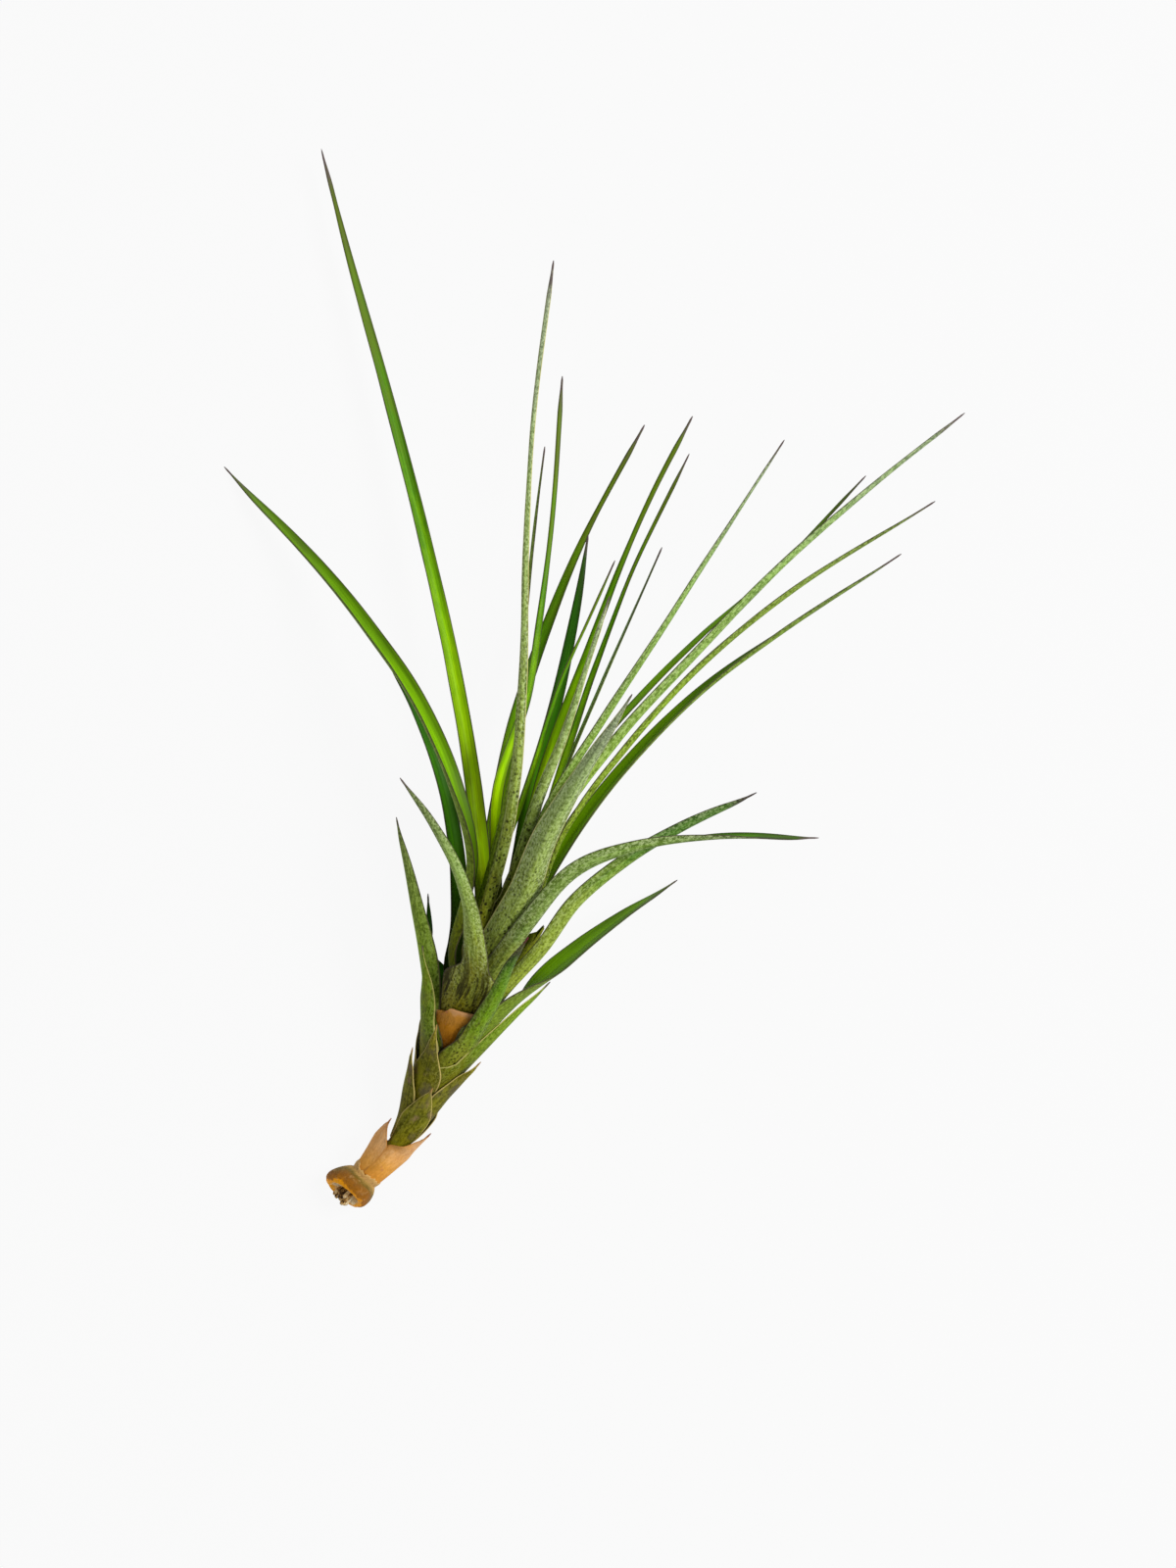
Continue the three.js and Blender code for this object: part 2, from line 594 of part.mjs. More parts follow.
const STEM_STATIONS = Array.from({ length: 15 }, (_, i) => 3.2 + 4.8 * i);
const PITH_STATIONS = [-2.1, -1.2, -0.1, 1.1, 2.2, 3.0];
const PITH_RADII = [1.7, 2.4, 2.3, 1.95, 1.7, 1.4];
const pithRadius = (station, angle) =>
  PITH_RADII[PITH_STATIONS.indexOf(station)] * (1 + 0.16 * Math.sin(5 * angle + station));

const plant = new THREE.Group();

function add(name, geometry, colour) {
  const mesh = new THREE.Mesh(geometry, material(colour));
  mesh.name = name;
  plant.add(mesh);
}

add("stem_core", closed(rod(STEM_STATIONS, 10, stemRadius)), "stem");
add("pith", closed(rod(PITH_STATIONS, 12, pithRadius)), "pith");
add("foot_collar", closed(turnedWall(COLLAR_PROFILE, 24, collarPoint)), "orange");
for (const leaf of LEAVES) add(leaf.name, leafGeometry(leaf), leaf.colour);

export default plant;
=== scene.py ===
"""An air plant as picked, lying on its side: thin channelled leaves with silvery scales on their
outer faces, olive scale leaves round the stem, papery dead sheaths, and a curled, torn foot.

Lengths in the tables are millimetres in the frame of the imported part. MM turns them into metres.
The surface is at height 0, and the tallest leaf tip lies towards +Y.
"""

import bpy
import math
import numpy as np
from mathutils import Euler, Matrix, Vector, noise


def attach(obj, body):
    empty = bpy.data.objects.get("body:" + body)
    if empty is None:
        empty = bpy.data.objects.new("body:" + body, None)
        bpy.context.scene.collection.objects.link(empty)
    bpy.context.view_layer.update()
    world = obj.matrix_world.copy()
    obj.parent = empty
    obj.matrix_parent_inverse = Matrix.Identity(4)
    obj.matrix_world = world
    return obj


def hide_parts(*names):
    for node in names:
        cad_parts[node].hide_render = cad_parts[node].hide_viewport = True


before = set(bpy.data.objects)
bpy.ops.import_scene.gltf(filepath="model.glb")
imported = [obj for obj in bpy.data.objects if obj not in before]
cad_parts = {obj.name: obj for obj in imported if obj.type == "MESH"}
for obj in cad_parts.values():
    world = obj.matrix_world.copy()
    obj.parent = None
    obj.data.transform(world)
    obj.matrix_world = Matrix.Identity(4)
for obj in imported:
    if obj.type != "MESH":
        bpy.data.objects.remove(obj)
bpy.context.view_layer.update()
MM = 0.001

# The stem's own line and the rules that place a leaf's base on it, as in the solids
STEM_LINE = [
    (-51.3, -105.8, 4.5), (-47.0, -101.8, 4.75), (-42.8, -97.4, 5.2), (-38.4, -92.2, 6.0),
    (-33.6, -82.2, 7.9), (-29.4, -72.8, 10.6), (-24.4, -60.6, 14.2), (-20.4, -51.6, 17.8),
    (-15.6, -40.8, 21.4),
]
STEM_RADIUS_FOOT = 1.2
STEM_RADIUS_TOP = 1.0
LEAF_THICKNESS = 0.64
SEAT_GAP = 0.2  # between the stem and a sheath
FIRST_NODE = 12  # station of the first leaf; a station is a distance from the stem's foot
FIRST_INTERNODE = 1.65
INTERNODE_SHRINK = 0.007
DIVERGENCE = 137.5
SHEATH_POINTS = 3
SHEATH_MOST = 0.7  # greatest share of a leaf that is its sheath
FREE_RUN = 1.8  # a blade is free of the stem at so many times its sheath's share
ROLL_RUN = 0.4  # share of the free blade by which it has turned to its own roll

# How much finer and thinner the finished blades are than the solids
ROW_LENGTH = 1.3  # distance between two rows of faces along a leaf
ROWS_LEAST = 36
ROWS_MOST = 130
COLUMNS = 18
SECTION_SAMPLES = 54
KEEL_REACH = 0.15
MARGIN_THINNING = 0.66  # share of the thickness lost from midrib to margin
TIP_THINNING = 0.4
TIP_HALF_WIDTH = 0.46
TIP_END = 0.35  # share of that half width left at the last full row
TIP_RUN = 7  # distance over which a tip narrows from that half width to its needle
NEEDLE = 0.85  # length of the point beyond a leaf's last full row
LATE_TAPER = 10
CHANNEL_WIDTHS = (0.35, 1.9)  # half widths between which the tip's channel opens flat
SHOULDER = 0.4  # share of the sheath's length over which its width passes into the blade's
MARGIN_WAVE = 0.16  # how far a margin waves out of its surface
WAVE_STEPS = (0.09, 1.7)  # how fast a margin's wave changes along a leaf and across it
TEAR_FROM = 0.3  # share of a leaf beyond which a ragged end shortens it
TEAR_MOST = 0.95
RIM_EDGE = 1.05  # value of the edge attribute on a rounded margin; 0 is the midrib
SEED_CYCLE = 97  # leaves differ by the depth at which their patterns are cut out of the noise
SEED_STEP = 1.37
UP = np.array([0.0, 0.0, 1.0])

# A row for each leaf. order, turn and shift place it by the spiral, or else station and azimuth, where
# 0 is on top of the stem. Its sheath stands off by flare and clasps the stem by so many degrees to each
# side. Its midrib goes on through about (station, azimuth and distance) and path (points in the frame).
# width, taper, late and end shape the free blade's outline, channel and keel its section, and roll
# turns its upper face. ragged: how much shorter a torn end is, how slanted and how uneven.
LEAVES = [
    dict(name="dry_sheath_left", station=5.4, azimuth=-56, sheath=8, flare=0.22, clasp=46, lift=0.9,
         width=6.8, taper=1.1, channel=50, roll=(120, 120), about=[(18.5, -53, 5)],
         look="dry", ragged=(-0.1, 0, 0.3), wave=0.5),
    dict(name="dry_sheath_right", station=6.0, azimuth=62, sheath=8, flare=0.12, clasp=80, lift=1.2,
         width=10, taper=1.1, channel=45, roll=(-105, -100), about=[(20.3, 51, 5.7)],
         look="dry", ragged=(-0.1, 0, 0.3), wave=0.5),
    dict(name="dry_sheath_under", station=5.4, azimuth=192, sheath=7, flare=0.06, clasp=34, lift=0.9,
         width=3.4, taper=1.6, channel=30, roll=(0, 0), about=[(14.5, 192, 3.7)], look="dry"),
    dict(name="leaf_01_scale_front", order=0, turn=6, sheath=10, flare=0.26, clasp=46,
         width=6, taper=1.6, channel=44, roll=(180, 180), about=[(29.7, 9, 6.6)], look="scale"),
    dict(name="leaf_02_scale_back_right", order=1, turn=6, sheath=10, flare=0.28, clasp=44,
         width=5.2, taper=1.5, channel=45, roll=(-42, -42), about=[(27.5, 143, 5.2)], look="scale"),
    dict(name="leaf_03_scale_left", order=2, turn=20, sheath=11, flare=0.25, clasp=50,
         width=5.8, taper=1.4, channel=55, roll=(115, 118), about=[(35.9, -50, 7.8)], look="scale"),
    dict(name="leaf_04_scale_right", order=3, turn=14, sheath=12, flare=0.275, clasp=50,
         width=7.0, taper=1.3, channel=55, roll=(-118, -118), about=[(38.6, 62, 8.6)], look="scale"),
    dict(name="leaf_05_scale_under", order=4, turn=4, sheath=11, flare=0.265, clasp=55,
         width=6, taper=1.4, channel=55, roll=(10, 10), about=[(35.5, 194, 6.3)], look="scale"),
    dict(name="leaf_06_scale_tooth", order=5, turn=15, shift=0.3, sheath=13, flare=0.29, clasp=44,
         width=5, taper=1, channel=50, keel=0.3, roll=(163, 163), about=[(43.6, -21, 9.2)], look="scale"),
    dict(name="leaf_07_scale_long_right", order=6, turn=-34, shift=1.1, sheath=13, flare=0.32, clasp=84,
         width=8.4, taper=1.5, channel=28, roll=(-107, -110), about=[(44.5, 82, 8.8), (57.4, 107, 15)],
         look="stalk", shoulder=0.15),
    dict(name="leaf_08_scale_back_left", order=7, sheath=12, flare=0.32, clasp=54,
         width=5.8, taper=1.4, channel=50, roll=(60, 60), about=[(41, -118, 8)], look="scale"),
    dict(name="leaf_09_short_hook", order=8, turn=15, shift=0.95, sheath=14, flare=0.33, clasp=52,
         width=5, taper=1.8, channel=50, keel=0.2, roll=(-155, -140),
         path=[(-20, -65, 27.6), (-16.6, -57.2, 37.6), (-13.4, -52.2, 47.5)], look="hook"),
    dict(name="leaf_10_scale_under_upper", order=9, sheath=12, flare=0.35, clasp=56,
         width=6, taper=1.4, channel=50, roll=(-23, -23), about=[(46, 157, 9.6)], look="scale"),
    dict(name="leaf_11_short_left_front", order=10, turn=-6, sheath=13, flare=0.37, clasp=66,
         width=8.4, taper=1.2, channel=50, roll=(128, 120),
         path=[(-34.6, -62.2, 18.2), (-34.9, -54.9, 21.6)], look="stalk"),
    dict(name="leaf_12_side_right_low", order=11, turn=-14, shift=0.3, sheath=19, flare=0.375, clasp=46,
         width=9, taper=1.7, channel=32, keel=0.3, roll=(-58, -60),
         path=[(-9.7, -61.4, 13.8), (-0.6, -53.8, 10.6), (9.1, -46.6, 5.8), (16.7, -41.5, 0.35)],
         look="green", shoulder=0.15),
    dict(name="leaf_13_side_left_low", order=12, turn=68, shift=0.5, sheath=10, flare=0.4, clasp=78,
         width=11.4, taper=0.76, late=0.15, channel=55, roll=(125, 120),
         path=[(-34.8, -58, 16.4), (-37, -45.6, 17.8), (-40.2, -28.8, 18.6)], look="bright"),
    dict(name="leaf_14_dead_stub", order=13, turn=17, sheath=12, flare=0.39, clasp=44,
         width=11.6, taper=2, end=0.82, channel=28, roll=(180, 180), about=[(48.8, 0, 8.5)],
         look="dead", ragged=(0.0, 0.2, 0.12), wave=0.4),
    dict(name="leaf_15_short_left_back", order=15, turn=-50, sheath=14, flare=0.42, clasp=42,
         width=3.2, taper=1.4, late=0.15, channel=55, roll=(30, 30),
         path=[(-34.2, -56.5, 9.8), (-33.9, -51, 9.2), (-34.1, -44.6, 8.6)], look="dark"),
    dict(name="leaf_16_side_right_high", order=18, turn=65, sheath=15, flare=0.38, clasp=34,
         width=6.4, taper=0.6, late=0.45, channel=55, keel=0.3, roll=(-150, -50),
         path=[(-13.1, -49.5, 34), (-3.4, -38.8, 39.6), (8.8, -34.3, 41), (24, -32.2, 39.4),
               (44.6, -32.1, 33.6)], look="silver"),
    dict(name="leaf_17_long_crossing", order=17, sheath=14, flare=0.43, clasp=46,
         width=5, taper=1.2, channel=45, keel=0.2, roll=(-5, -10),
         path=[(-20, -28, 10), (-16, -8, 10.4), (-9, 12.8, 11.4), (-1.8, 29.8, 12.4), (10, 51.7, 13.6)],
         look="bright"),
    dict(name="leaf_18_side_left_curved",
         order=16, turn=-40, shift=-1.6, sheath=24, flare=0.385, clasp=42,
         width=6.4, taper=0.8, late=0.15, channel=55, keel=0.2, roll=(150, 150),
         path=[(-25, -48.9, 33.4), (-26.2, -43.3, 38.2), (-28.3, -37, 42.4), (-33, -28, 47.4),
               (-38.2, -20.6, 52)], look="sheathed", shoulder=0.14),
    dict(name="leaf_19_side_right_mid", order=14, turn=-70, shift=3.4, sheath=15, flare=0.38, clasp=35,
         width=5.8, taper=0.6, late=0.6, channel=50, keel=0.3, roll=(-140, -125),
         path=[(-10.2, -55.1, 28.4), (-3.3, -45.4, 32.2), (7.1, -36.8, 33.6), (17.5, -30.6, 33),
               (32.2, -23.3, 31)], look="twisted", shoulder=0.25),
    dict(name="leaf_20_long_left_back", order=20, sheath=13, flare=0.45, clasp=44,
         width=5.4, taper=1.6, channel=50, roll=(35, 40),
         path=[(-28.4, -38, 14.6), (-31, -22, 15.4), (-36.4, -7, 15), (-42.5, 4.4, 13.6)], look="dark"),
    dict(name="leaf_21_big_front", order=21, shift=0.6, sheath=13, flare=0.415, clasp=38,
         width=9.4, taper=1.6, channel=48, keel=0.75, roll=(-172, -162),
         path=[(-14.6, -44.6, 35.2), (-9.2, -31.2, 48), (-2, -18.8, 60.4), (3.4, -10.2, 70),
               (7.1, -4.2, 76.8)], look="speckled"),
    dict(name="leaf_22_long_right_low", order=22, sheath=12, flare=0.45, clasp=40,
         width=5.8, taper=0.8, late=0.45, channel=50, keel=0.3, roll=(-55, -110),
         path=[(-7.4, -37.4, 12.6), (4.7, -20.5, 12.4), (21, -3.6, 11.6), (37, 8.6, 10.4),
               (62.6, 25.7, 8)], look="green"),
    dict(name="leaf_23_long_left_arching", order=23, sheath=12, flare=0.45, clasp=44,
         width=5.8, taper=4, late=0.15, channel=55, keel=0.4, roll=(55, 45),
         path=[(-25.6, -37, 26.6), (-29.4, -21, 27), (-36.9, -4.3, 22.6), (-46.2, 9.4, 15.4),
               (-56, 21.9, 8.2), (-76, 43.9, 0.25)], look="green"),
    dict(name="leaf_24_cut_stub", order=19, turn=-18, shift=0.5, sheath=12, flare=0.36, clasp=24,
         width=5.4, taper=2, end=0.8, channel=40, roll=(-140, -140), path=[(-10.8, -49.6, 25.2)],
         look="olive", ragged=(0.12, 0.1, 0.1)),
    dict(name="leaf_25_tallest", order=25, sheath=12, flare=0.44, clasp=40,
         width=5, taper=0.7, late=0.3, channel=45, keel=0.2, roll=(12, 25),
         path=[(-24.6, -23.9, 13.6), (-28.9, 2.2, 10.8), (-34.5, 27.5, 8.4), (-42.3, 57.9, 6.6),
               (-49.5, 83.8, 5.4), (-51.9, 92.9, 5.4), (-54.2, 101.9, 5), (-56.1, 109.1, 5.2)],
         look="bright", ragged=(0.006, -0.008, 0)),
    dict(name="leaf_26_long_centre", order=26, sheath=12, flare=0.405, clasp=29,
         width=4.6, taper=0.6, channel=55, keel=0.5, roll=(160, 160),
         path=[(-17, -27, 35.4), (-14.4, -1.2, 41.6), (-13.6, 26.8, 44.2), (-12.1, 52.2, 45.4),
               (-8.2, 82.7, 46)], look="speckled"),
    dict(name="leaf_27_long_right_third", order=27, sheath=12, flare=0.41, clasp=42,
         width=3.8, taper=1.2, late=0.6, channel=50, keel=0.3, roll=(-100, -110),
         path=[(-6, -31.6, 21), (7.1, -13.7, 21.4), (22.5, 3.1, 21.2), (41.6, 18.7, 20.6),
               (69, 36.1, 18.8)], look="bright"),
    dict(name="leaf_28_centre_left", order=33, sheath=11, flare=0.34, clasp=42,
         width=4.4, taper=0.6, channel=50, keel=0.2, roll=(25, 15),
         path=[(-19.6, -22, 24.8), (-13.6, -3.2, 23.4), (-11, 12.8, 22), (-8.5, 32.8, 20.2),
               (-6.5, 61.3, 18)], look="bright"),
    dict(name="leaf_29_long_right_top", order=29, sheath=12, flare=0.375, clasp=37,
         width=6, taper=0.6, late=0.15, channel=50, keel=0.4, roll=(-130, -140),
         path=[(-9.6, -32.6, 36), (5, -12.4, 39), (20.4, 4.6, 40.6), (36.2, 21.2, 41.6),
               (55.7, 38.5, 42.4), (73.7, 52.7, 42.8)], look="pale"),
    dict(name="leaf_30_dark_back", order=30, sheath=11, flare=0.38, clasp=36,
         width=4.2, taper=1.2, late=0.3, channel=45, roll=(0, 0),
         path=[(-12.4, -22, 17.4), (-7.4, -3.2, 17), (-3.3, 16.3, 17), (-1.3, 28.9, 17)], look="dark"),
    dict(name="leaf_31_thin_centre", order=31, sheath=10, flare=0.37, clasp=42,
         width=2.2, taper=3.4, late=0.6, channel=60, keel=0.4, roll=(110, 110),
         path=[(-16.6, -18, 33.6), (-14.4, 8, 36.8), (-12.2, 28.8, 37.8), (-10, 45.9, 38)], look="green"),
    dict(name="leaf_32_right_crossing", order=32, sheath=10, flare=0.35, clasp=36,
         width=2.8, taper=1.6, channel=45, roll=(-50, -50),
         path=[(-3.6, -20, 25.6), (9.2, -3.8, 28), (22.2, 9.2, 29.8), (36.2, 21.4, 31.2),
               (54.4, 40.5, 32.8)], look="green"),
    dict(name="leaf_33_centre_dark_tall", order=38, shift=0.6, sheath=10, flare=0.28, clasp=30,
         width=3.4, taper=1, channel=50, keel=0.2, roll=(-10, -10),
         path=[(-9.2, -16, 22.6), (-1.5, 4.8, 25), (5.6, 23.5, 27), (12, 38, 28), (19.6, 52.6, 29)],
         look="bright"),
    dict(name="leaf_34_centre_ridged", order=37, turn=-50, sheath=9, flare=0.29, clasp=42,
         width=3.2, taper=1.4, channel=55, keel=0.5, roll=(170, 170),
         path=[(-11.8, -25.6, 32.6), (-6, -11.2, 36.4), (-1.6, 2, 39.4), (2.9, 15.8, 42)],
         look="speckled"),
    dict(name="leaf_35_centre_right_tall", order=35, sheath=9, flare=0.32, clasp=20,
         width=2.8, taper=1.2, channel=50, keel=0.2, roll=(-40, -40),
         path=[(-7.4, -21.2, 21.6), (0.2, 2.1, 23), (8.2, 22.9, 25), (19, 45.1, 27)], look="bright"),
    dict(name="leaf_36_centre_gold", order=36, sheath=9, flare=0.31, clasp=42,
         width=2.8, taper=1.6, channel=55, keel=0.3, roll=(60, 60),
         path=[(-13.4, -20.4, 28.8), (-6.8, -0.6, 32), (-1.3, 11.5, 34), (3.9, 23.1, 36)], look="bright"),
    dict(name="leaf_37_right_upper", order=34, turn=22, sheath=11, flare=0.33, clasp=36,
         width=3.2, taper=2.2, late=0.15, channel=50, keel=0.3, roll=(-120, -120),
         path=[(-8.4, -25.6, 33.6), (2.4, -8, 38), (12.9, 8.2, 42.6), (25.2, 27.7, 47),
               (37.5, 46.7, 50.6)], look="pale"),
    dict(name="leaf_38_thin_right", order=40, sheath=8, flare=0.26, clasp=44,
         width=2.2, taper=4, late=0.6, channel=55, keel=0.3, roll=(-80, -80),
         path=[(-7, -22, 27), (1.6, -1.1, 30.4), (8.1, 13.8, 32.4), (13.4, 25.8, 34.4)], look="green"),
]


def lerp(a, b, share):
    return a + (b - a) * share


def smoothstep(x, low, high):
    x = min(1.0, max(0.0, (x - low) / (high - low)))
    return x * x * (3 - 2 * x)


def unit(vector):
    return vector / np.linalg.norm(vector)


class Curve:
    """A smooth line through points, with centripetal spacing, read by its share of the length"""

    DIVISIONS = 200

    def __init__(self, points):
        self.points = [np.array(p, float) for p in points]
        shares = np.linspace(0, 1, self.DIVISIONS + 1)
        places = np.array([self.place(t) for t in shares])
        steps = np.linalg.norm(np.diff(places, axis=0), axis=1)
        self.shares = shares
        self.lengths = np.concatenate([[0], np.cumsum(steps)])
        self.length = self.lengths[-1]

    def place(self, t):
        points = self.points
        last = len(points) - 1
        at = min(max(t, 0.0), 1.0) * last
        i = min(int(at), last - 1)
        weight = at - i
        p1 = points[i]
        p2 = points[i + 1]
        p0 = points[i - 1] if i > 0 else 2 * points[0] - points[1]
        p3 = points[i + 2] if i + 2 <= last else 2 * points[last] - points[last - 1]
        d0, d1, d2 = (float(np.dot(b - a, b - a)) ** 0.25 for a, b in ((p0, p1), (p1, p2), (p2, p3)))
        t1 = ((p1 - p0) / d0 - (p2 - p0) / (d0 + d1) + (p2 - p1) / d1) * d1
        t2 = ((p2 - p1) / d1 - (p3 - p1) / (d1 + d2) + (p3 - p2) / d2) * d1
        c2 = 3 * (p2 - p1) - 2 * t1 - t2
        c3 = 2 * (p1 - p2) + t1 + t2
        return p1 + weight * (t1 + weight * (c2 + weight * c3))

    def at(self, share):
        return self.place(np.interp(share * self.length, self.lengths, self.shares))

    def tangent(self, share):
        t = float(np.interp(share * self.length, self.lengths, self.shares))
        return unit(self.place(min(t + 1e-4, 1)) - self.place(max(t - 1e-4, 0)))


stem_line = Curve(STEM_LINE)


def stem_radius(station):
    return lerp(STEM_RADIUS_FOOT, STEM_RADIUS_TOP, station / stem_line.length)


def stem_at(station):
    """Centre and directions (along, right, above) of the stem at a distance from its foot"""
    share = min(1.0, max(0.0, station / stem_line.length))
    along = stem_line.tangent(share)
    centre = stem_line.at(share) + along * (station - share * stem_line.length)
    right = unit(np.cross(along, UP))
    return centre, along, right, np.cross(right, along)


def about_stem(station, azimuth, radius):
    centre, _, right, above = stem_at(station)
    return centre + radius * (above * math.cos(azimuth) + right * math.sin(azimuth))


def node_station(order):
    return FIRST_NODE + FIRST_INTERNODE * order - INTERNODE_SHRINK * order * order


class Rib:
    """A leaf's midrib and the facts of its clasping base"""

    def __init__(self, leaf):
        order = leaf.get("order", 0)
        self.station = leaf.get("station", node_station(order) + leaf.get("shift", 0))
        self.azimuth = math.radians(leaf.get("azimuth", order * DIVERGENCE + leaf.get("turn", 0)))
        seat = stem_radius(self.station) + SEAT_GAP + LEAF_THICKNESS / 2 + leaf.get("lift", 0)
        rises = [leaf["sheath"] * i / (SHEATH_POINTS - 1) for i in range(SHEATH_POINTS)]
        points = [about_stem(self.station + r, self.azimuth, seat + leaf["flare"] * r) for r in rises]
        points += [about_stem(s, math.radians(a), r) for s, a, r in leaf.get("about", [])]
        points += leaf.get("path", [])
        self.line = Curve(points)
        self.length = self.line.length
        self.reach = seat + leaf["flare"] * leaf["sheath"]
        self.sheath_share = min(SHEATH_MOST, leaf["sheath"] / self.length)
        held = self.azimuth + math.pi
        middle = nearest_turn(math.radians(leaf["roll"][0]), held)
        tip = nearest_turn(math.radians(leaf["roll"][1]), middle)
        turned = lerp(self.sheath_share, 1, ROLL_RUN)
        self.rolls = [(0, held), (self.sheath_share, held), (turned, middle), (1, tip)]

    def roll(self, share):
        after = max(1, next(i for i, (at, _) in enumerate(self.rolls) if at >= share))
        (start, a), (end, b) = self.rolls[after - 1], self.rolls[after]
        return lerp(a, b, smoothstep(share, start, end))

    def beyond(self, share):
        """0 on the sheath to 1 at the tip"""
        return min(1.0, max(0.0, (share - self.sheath_share) / (1 - self.sheath_share)))

    def directions(self, share, along, free):
        """Across the blade, and out of its upper face"""
        normal = unit(lerp(along, self.line.tangent(share), free))
        right = unit(np.cross(normal, UP))
        roll = self.roll(share)
        face = np.cross(right, normal) * math.cos(roll) + right * math.sin(roll)
        return np.cross(normal, face), face


def nearest_turn(angle, reference):
    return angle - 2 * math.pi * round((angle - reference) / (2 * math.pi))


def bend(q, keel):
    """How far a section has turned at a share of the way from midrib to margin"""
    return keel * np.minimum(1, q / KEEL_REACH) + (1 - keel) * q


def section(half_width, margin_turn, keel):
    """Offsets across a blade (side, up, turn) for every column, midrib in the middle"""
    turn = margin_turn * bend((np.arange(SECTION_SAMPLES) + 0.5) / SECTION_SAMPLES, keel)
    step = half_width / SECTION_SAMPLES
    x = np.concatenate([[0], np.cumsum(np.cos(turn) * step)])
    y = np.concatenate([[0], np.cumsum(np.sin(turn) * step)])
    half = COLUMNS // 2
    picks = np.arange(half + 1) * (SECTION_SAMPLES // half)
    turns = margin_turn * bend(np.arange(half + 1) / half, keel)
    side = np.concatenate([-x[picks][:0:-1], x[picks]])
    up = np.concatenate([y[picks][:0:-1], y[picks]])
    return side, up, np.concatenate([-turns[:0:-1], turns])


def blade_half_width(leaf, rib, share):
    """Half the width of the free blade, no less than its tip has there"""
    beyond = rib.beyond(share)
    shape = lerp(1 - beyond ** leaf["taper"], 1 - beyond ** LATE_TAPER, leaf.get("late", 0))
    least = TIP_HALF_WIDTH * lerp(TIP_END, 1, smoothstep((1 - share) * rib.length, 0, TIP_RUN))
    return max(least, leaf["width"] / 2 * lerp(leaf.get("end", 0), 1, shape))


def margin_wave(distance, q, seed):
    """How far each column waves out of its surface, as a share: not at all along the midrib"""
    along, across = WAVE_STEPS
    places = [Vector((distance * along, s * across, seed)) for s in np.sign(q) * q * q]
    return np.array([noise.noise(place) for place in places]) * q * q


def blade_rows(leaf, seed):
    """Mid surface, face normals, thickness and place across a leaf, as grids of rows and columns"""
    rib = Rib(leaf)
    rows = int(min(ROWS_MOST, max(ROWS_LEAST, rib.length / ROW_LENGTH)))
    q = np.linspace(-1, 1, COLUMNS + 1)
    spread = math.hypot(1, leaf["flare"])
    shoulder = leaf.get("shoulder", SHOULDER)
    sheath = rib.sheath_share
    table = []
    for share in (i / rows for i in range(rows + 1)):
        centre, along, _, _ = stem_at(rib.station + share * rib.length / spread)
        middle = rib.line.at(share)
        radius = min(float(np.linalg.norm(middle - centre)), rib.reach)
        leaving = smoothstep(share, sheath * (1 - shoulder), sheath * (1 + shoulder))
        free = smoothstep(share, sheath, sheath * FREE_RUN)
        clasping = math.radians(leaf["clasp"]) * radius
        half_width = lerp(clasping, blade_half_width(leaf, rib, share), leaving)
        channel = math.radians(leaf["channel"]) * smoothstep(half_width, *CHANNEL_WIDTHS)
        margin_turn = lerp(half_width / radius, channel, free)
        side_mm, up_mm, turn = section(half_width, margin_turn, leaf.get("keel", 0) * free)
        side, face = rib.directions(share, along, free)
        normals = -np.sin(turn)[:, None] * side + np.cos(turn)[:, None] * face
        wave = leaf.get("wave", MARGIN_WAVE) * (0.3 + 0.7 * leaving) * (1 - rib.beyond(share) ** 3)
        lift = wave * margin_wave(share * rib.length, q, seed)
        points = middle + side_mm[:, None] * side + up_mm[:, None] * face + lift[:, None] * normals
        thinning = (1 - MARGIN_THINNING * q * q) * (1 - TIP_THINNING * share)
        thick = LEAF_THICKNESS * thinning * lerp(spread, 1, free)
        table.append((points, normals, thick, q * half_width))
    grids = [np.array(grid) for grid in zip(*table)]
    return rib, grids if "end" in leaf else with_needle(rib, grids)


def with_needle(rib, grids):
    """The same grids with one more row, in which the blade runs out into a point"""
    middle, normal, thick, across = grids
    tip = rib.line.at(1) + NEEDLE * rib.line.tangent(1)
    last = tip + 0.4 * (middle[-1] - rib.line.at(1))
    added = (last, normal[-1], 0.45 * thick[-1], 0.4 * across[-1])
    return [np.concatenate([grid, row[None]]) for grid, row in zip(grids, added)]


def torn(grid, leaf, seed):
    """Each column of a grid shortened to a ragged end"""
    if "ragged" not in leaf:
        return grid
    shorter, slant, uneven = leaf["ragged"]
    rows = grid.shape[0] - 1
    shares = np.linspace(0, 1, rows + 1)
    loose = np.clip((shares - TEAR_FROM) / (1 - TEAR_FROM), 0, 1)
    result = grid.copy()
    for j in range(grid.shape[1]):
        q = 2 * j / (grid.shape[1] - 1) - 1
        jagged = noise.noise(Vector((q * 3.1, seed, 0.5))) + 0.3 * noise.noise(Vector((q * 11, seed, 4.5)))
        cut = min(TEAR_MOST, max(0.0, shorter + slant * q + uneven * jagged))
        at = shares * (1 - cut * loose) * rows
        low = np.minimum(at.astype(int), rows - 1)
        part = (at - low).reshape((-1,) + (1,) * (grid.ndim - 2))
        result[:, j] = lerp(grid[low, j], grid[low + 1, j], part)
    return result


def signed_volume(mesh):
    total = 0.0
    for polygon in mesh.polygons:
        a, *rest = [mesh.vertices[v].co for v in polygon.vertices]
        total += sum(a.dot(b.cross(c)) for b, c in zip(rest, rest[1:]))
    return total


def band(here, after, ring):
    """Faces between two rings of points, given each ring's first point"""
    sides = [(j, (j + 1) % ring) for j in range(ring)]
    return [(here + j, here + k, after + k, after + j) for j, k in sides]


